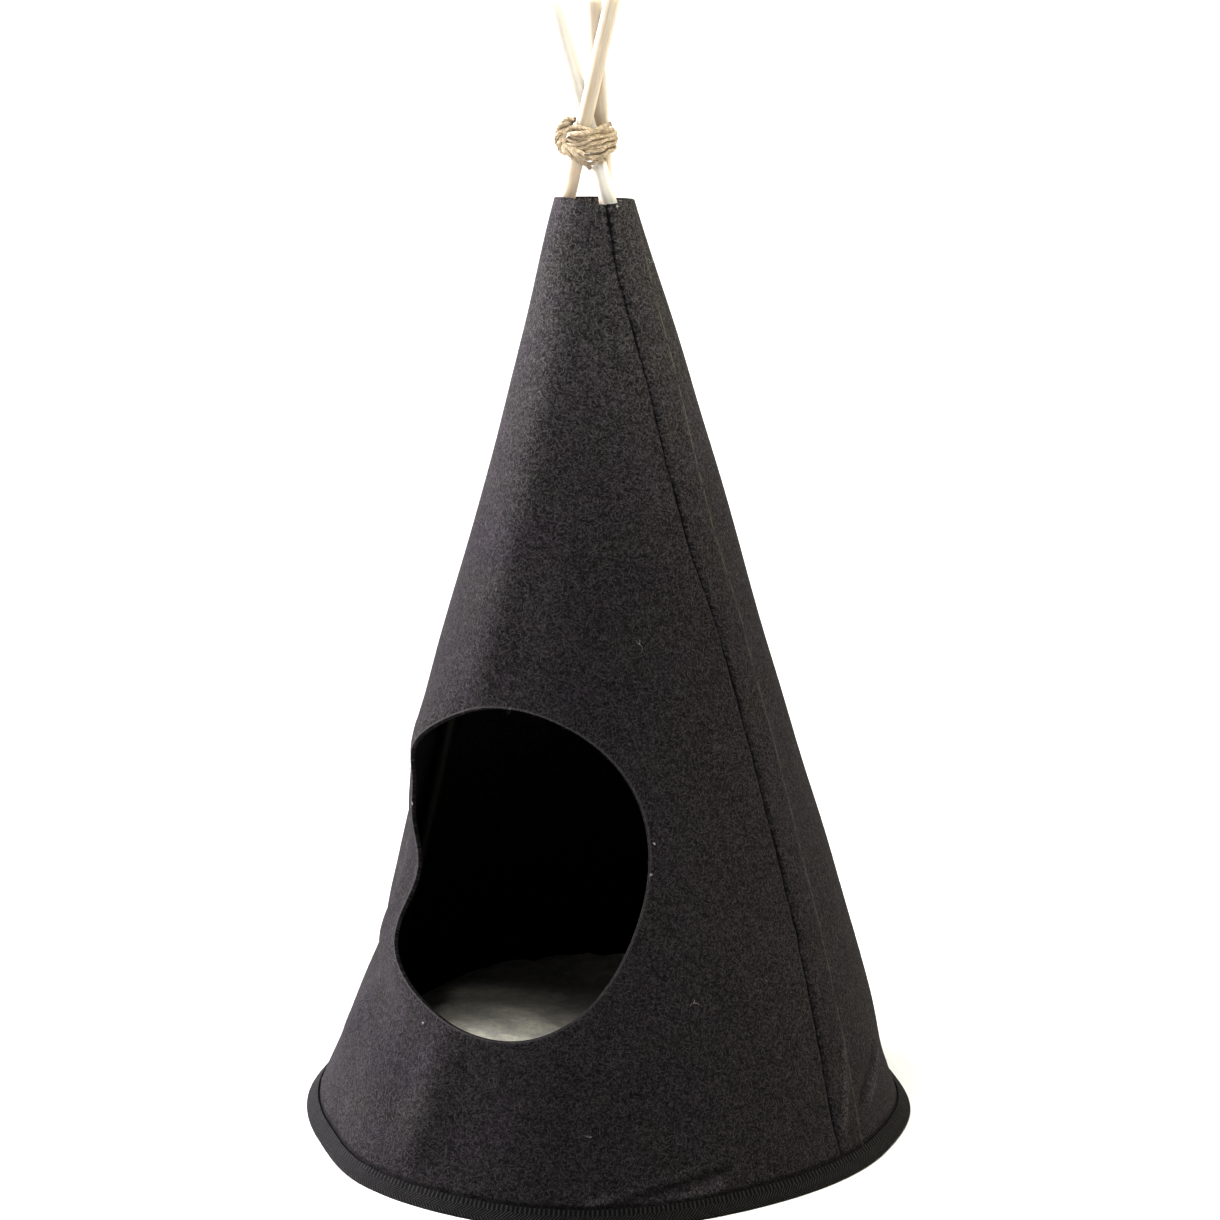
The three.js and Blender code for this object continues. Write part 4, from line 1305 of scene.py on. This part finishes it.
BETWEEN_LEGS = (
    (-17, 10, -5), (-13.5, 14.3, -9), (-9, 14.2, -11.4), (-5, 10.5, -13.4), (-2.2, 6, -16),
    (-1.6, 0.5, -17), (1.6, -6, -14.5), (4, -12, -9),
)


def make_twine(material):
    """The winding, a few turns over it, the short ends and the thicker knot, all of three plies."""
    rng = np.random.default_rng(3)
    step, ply_lay, knot_lay, knot_thicker = 0.8, 7.5, 21, 1.25
    thirds = 2 * np.pi * np.arange(3) / 3
    clear = TWINE_PLY * 2 + 0.3
    main = turns(-60, 11, (-1.2, 1.6, 1, 2.2), (9.6, 8.6, 7.5, 7.4), clear, 2.4, rng)
    over = turns(-80, 2.6, (-3, 4.5, 2, 1), (5.5, 3.5, 3, 2.5), clear + 2.6, 0.5, rng)
    strands = [evenly(softened(evenly(path, 1.5), 3), step) for path in (main, over)]
    *ends, knot = [
        evenly(catmull_rom(at_tie(path), 12), step)
        for path in (BETWEEN_LEGS, ACROSS_LEGS, KNOT_INSIDE, RIGHT_END, KNOT)
    ]
    strands += [*ends, *(wound(knot, 2, knot_lay, 1.0 + phase) for phase in thirds)]
    radii = [TWINE_PLY] * 4 + [knot_thicker * TWINE_PLY] * 5
    plies = [
        tube(wound(strand, 0.95 * ply, ply_lay, phase), ply)
        for strand, ply in zip(strands, radii)
        for phase in thirds
    ]
    points, faces, uv = joined(plies)
    return piece_from("twine_lashing", points, faces, material, UVMap=uv), strands


def make_twine_fuzz(strands, material):
    rng = np.random.default_rng(21)
    count = 1500
    path = np.vstack(strands)
    along = np.vstack([unit(np.gradient(strand, axis=0)) for strand in strands])
    pick = rng.integers(0, len(path), count)
    path, along = path[pick], along[pick]
    side = square_to(along, rng)
    way = unit(along * rng.choice([-1, 1], (count, 1)) + 0.5 * side)
    lengths = rng.uniform(1.5, 5, count)
    points, faces = hairs(path + side * TWINE_PLY * 1.8, way, side, lengths, 0.07, rng)
    return piece_from("twine_fuzz", points, faces, material)


# --- Making it all ---

add_camera()
add_light()

FELT_TONES = (0.0225, 0.0208, 0.0226, 1), (0.125, 0.117, 0.124, 1)
felt = felt_material("charcoal_felt", *FELT_TONES, True)
floor_felt = felt_material("charcoal_felt_floor", *FELT_TONES)
wall = part(make_wall(felt), "felt", "felt_cone")
fuzz_wool = fibre_material("felt_fibre", (0.05, 0.048, 0.05, 1), (0.16, 0.155, 0.16, 1))
wall_fuzz = part(make_wall_fuzz(fuzz_wool), "felt")
lint_wool = fibre_material("lint_fibre", (0.7, 0.66, 0.6, 1), (0.85, 0.83, 0.8, 1))
lint = part(make_lint(lint_wool), "felt")
floor_panel = part(make_floor_panel(floor_felt), "felt", "base_panel")
tape = part(make_tape(tape_material()), "tape", "binding")
cushion = part(make_cushion(plush_material()), "plush", "cushion")
for index, pole_name in enumerate(POLES):
    make_pole(pole_name, 1.7 * index)
jute = twine_material("jute", (0.38, 0.30, 0.215, 1), (0.73, 0.64, 0.515, 1))
lashing, twine_strands = make_twine(jute)
part(lashing, "twine", "lashing")
loose_jute = fibre_material("jute_fibre", (0.62, 0.5, 0.34, 1), (0.88, 0.78, 0.6, 1))
part(make_twine_fuzz(twine_strands, loose_jute), "twine")

corners = np.array([[-1, -1, 0], [1, -1, 0], [1, 1, 0], [-1, 1, 0]]) * FLOOR_HALF
floor = piece_from("floor", corners, [(0, 1, 2, 3)], floor_material())
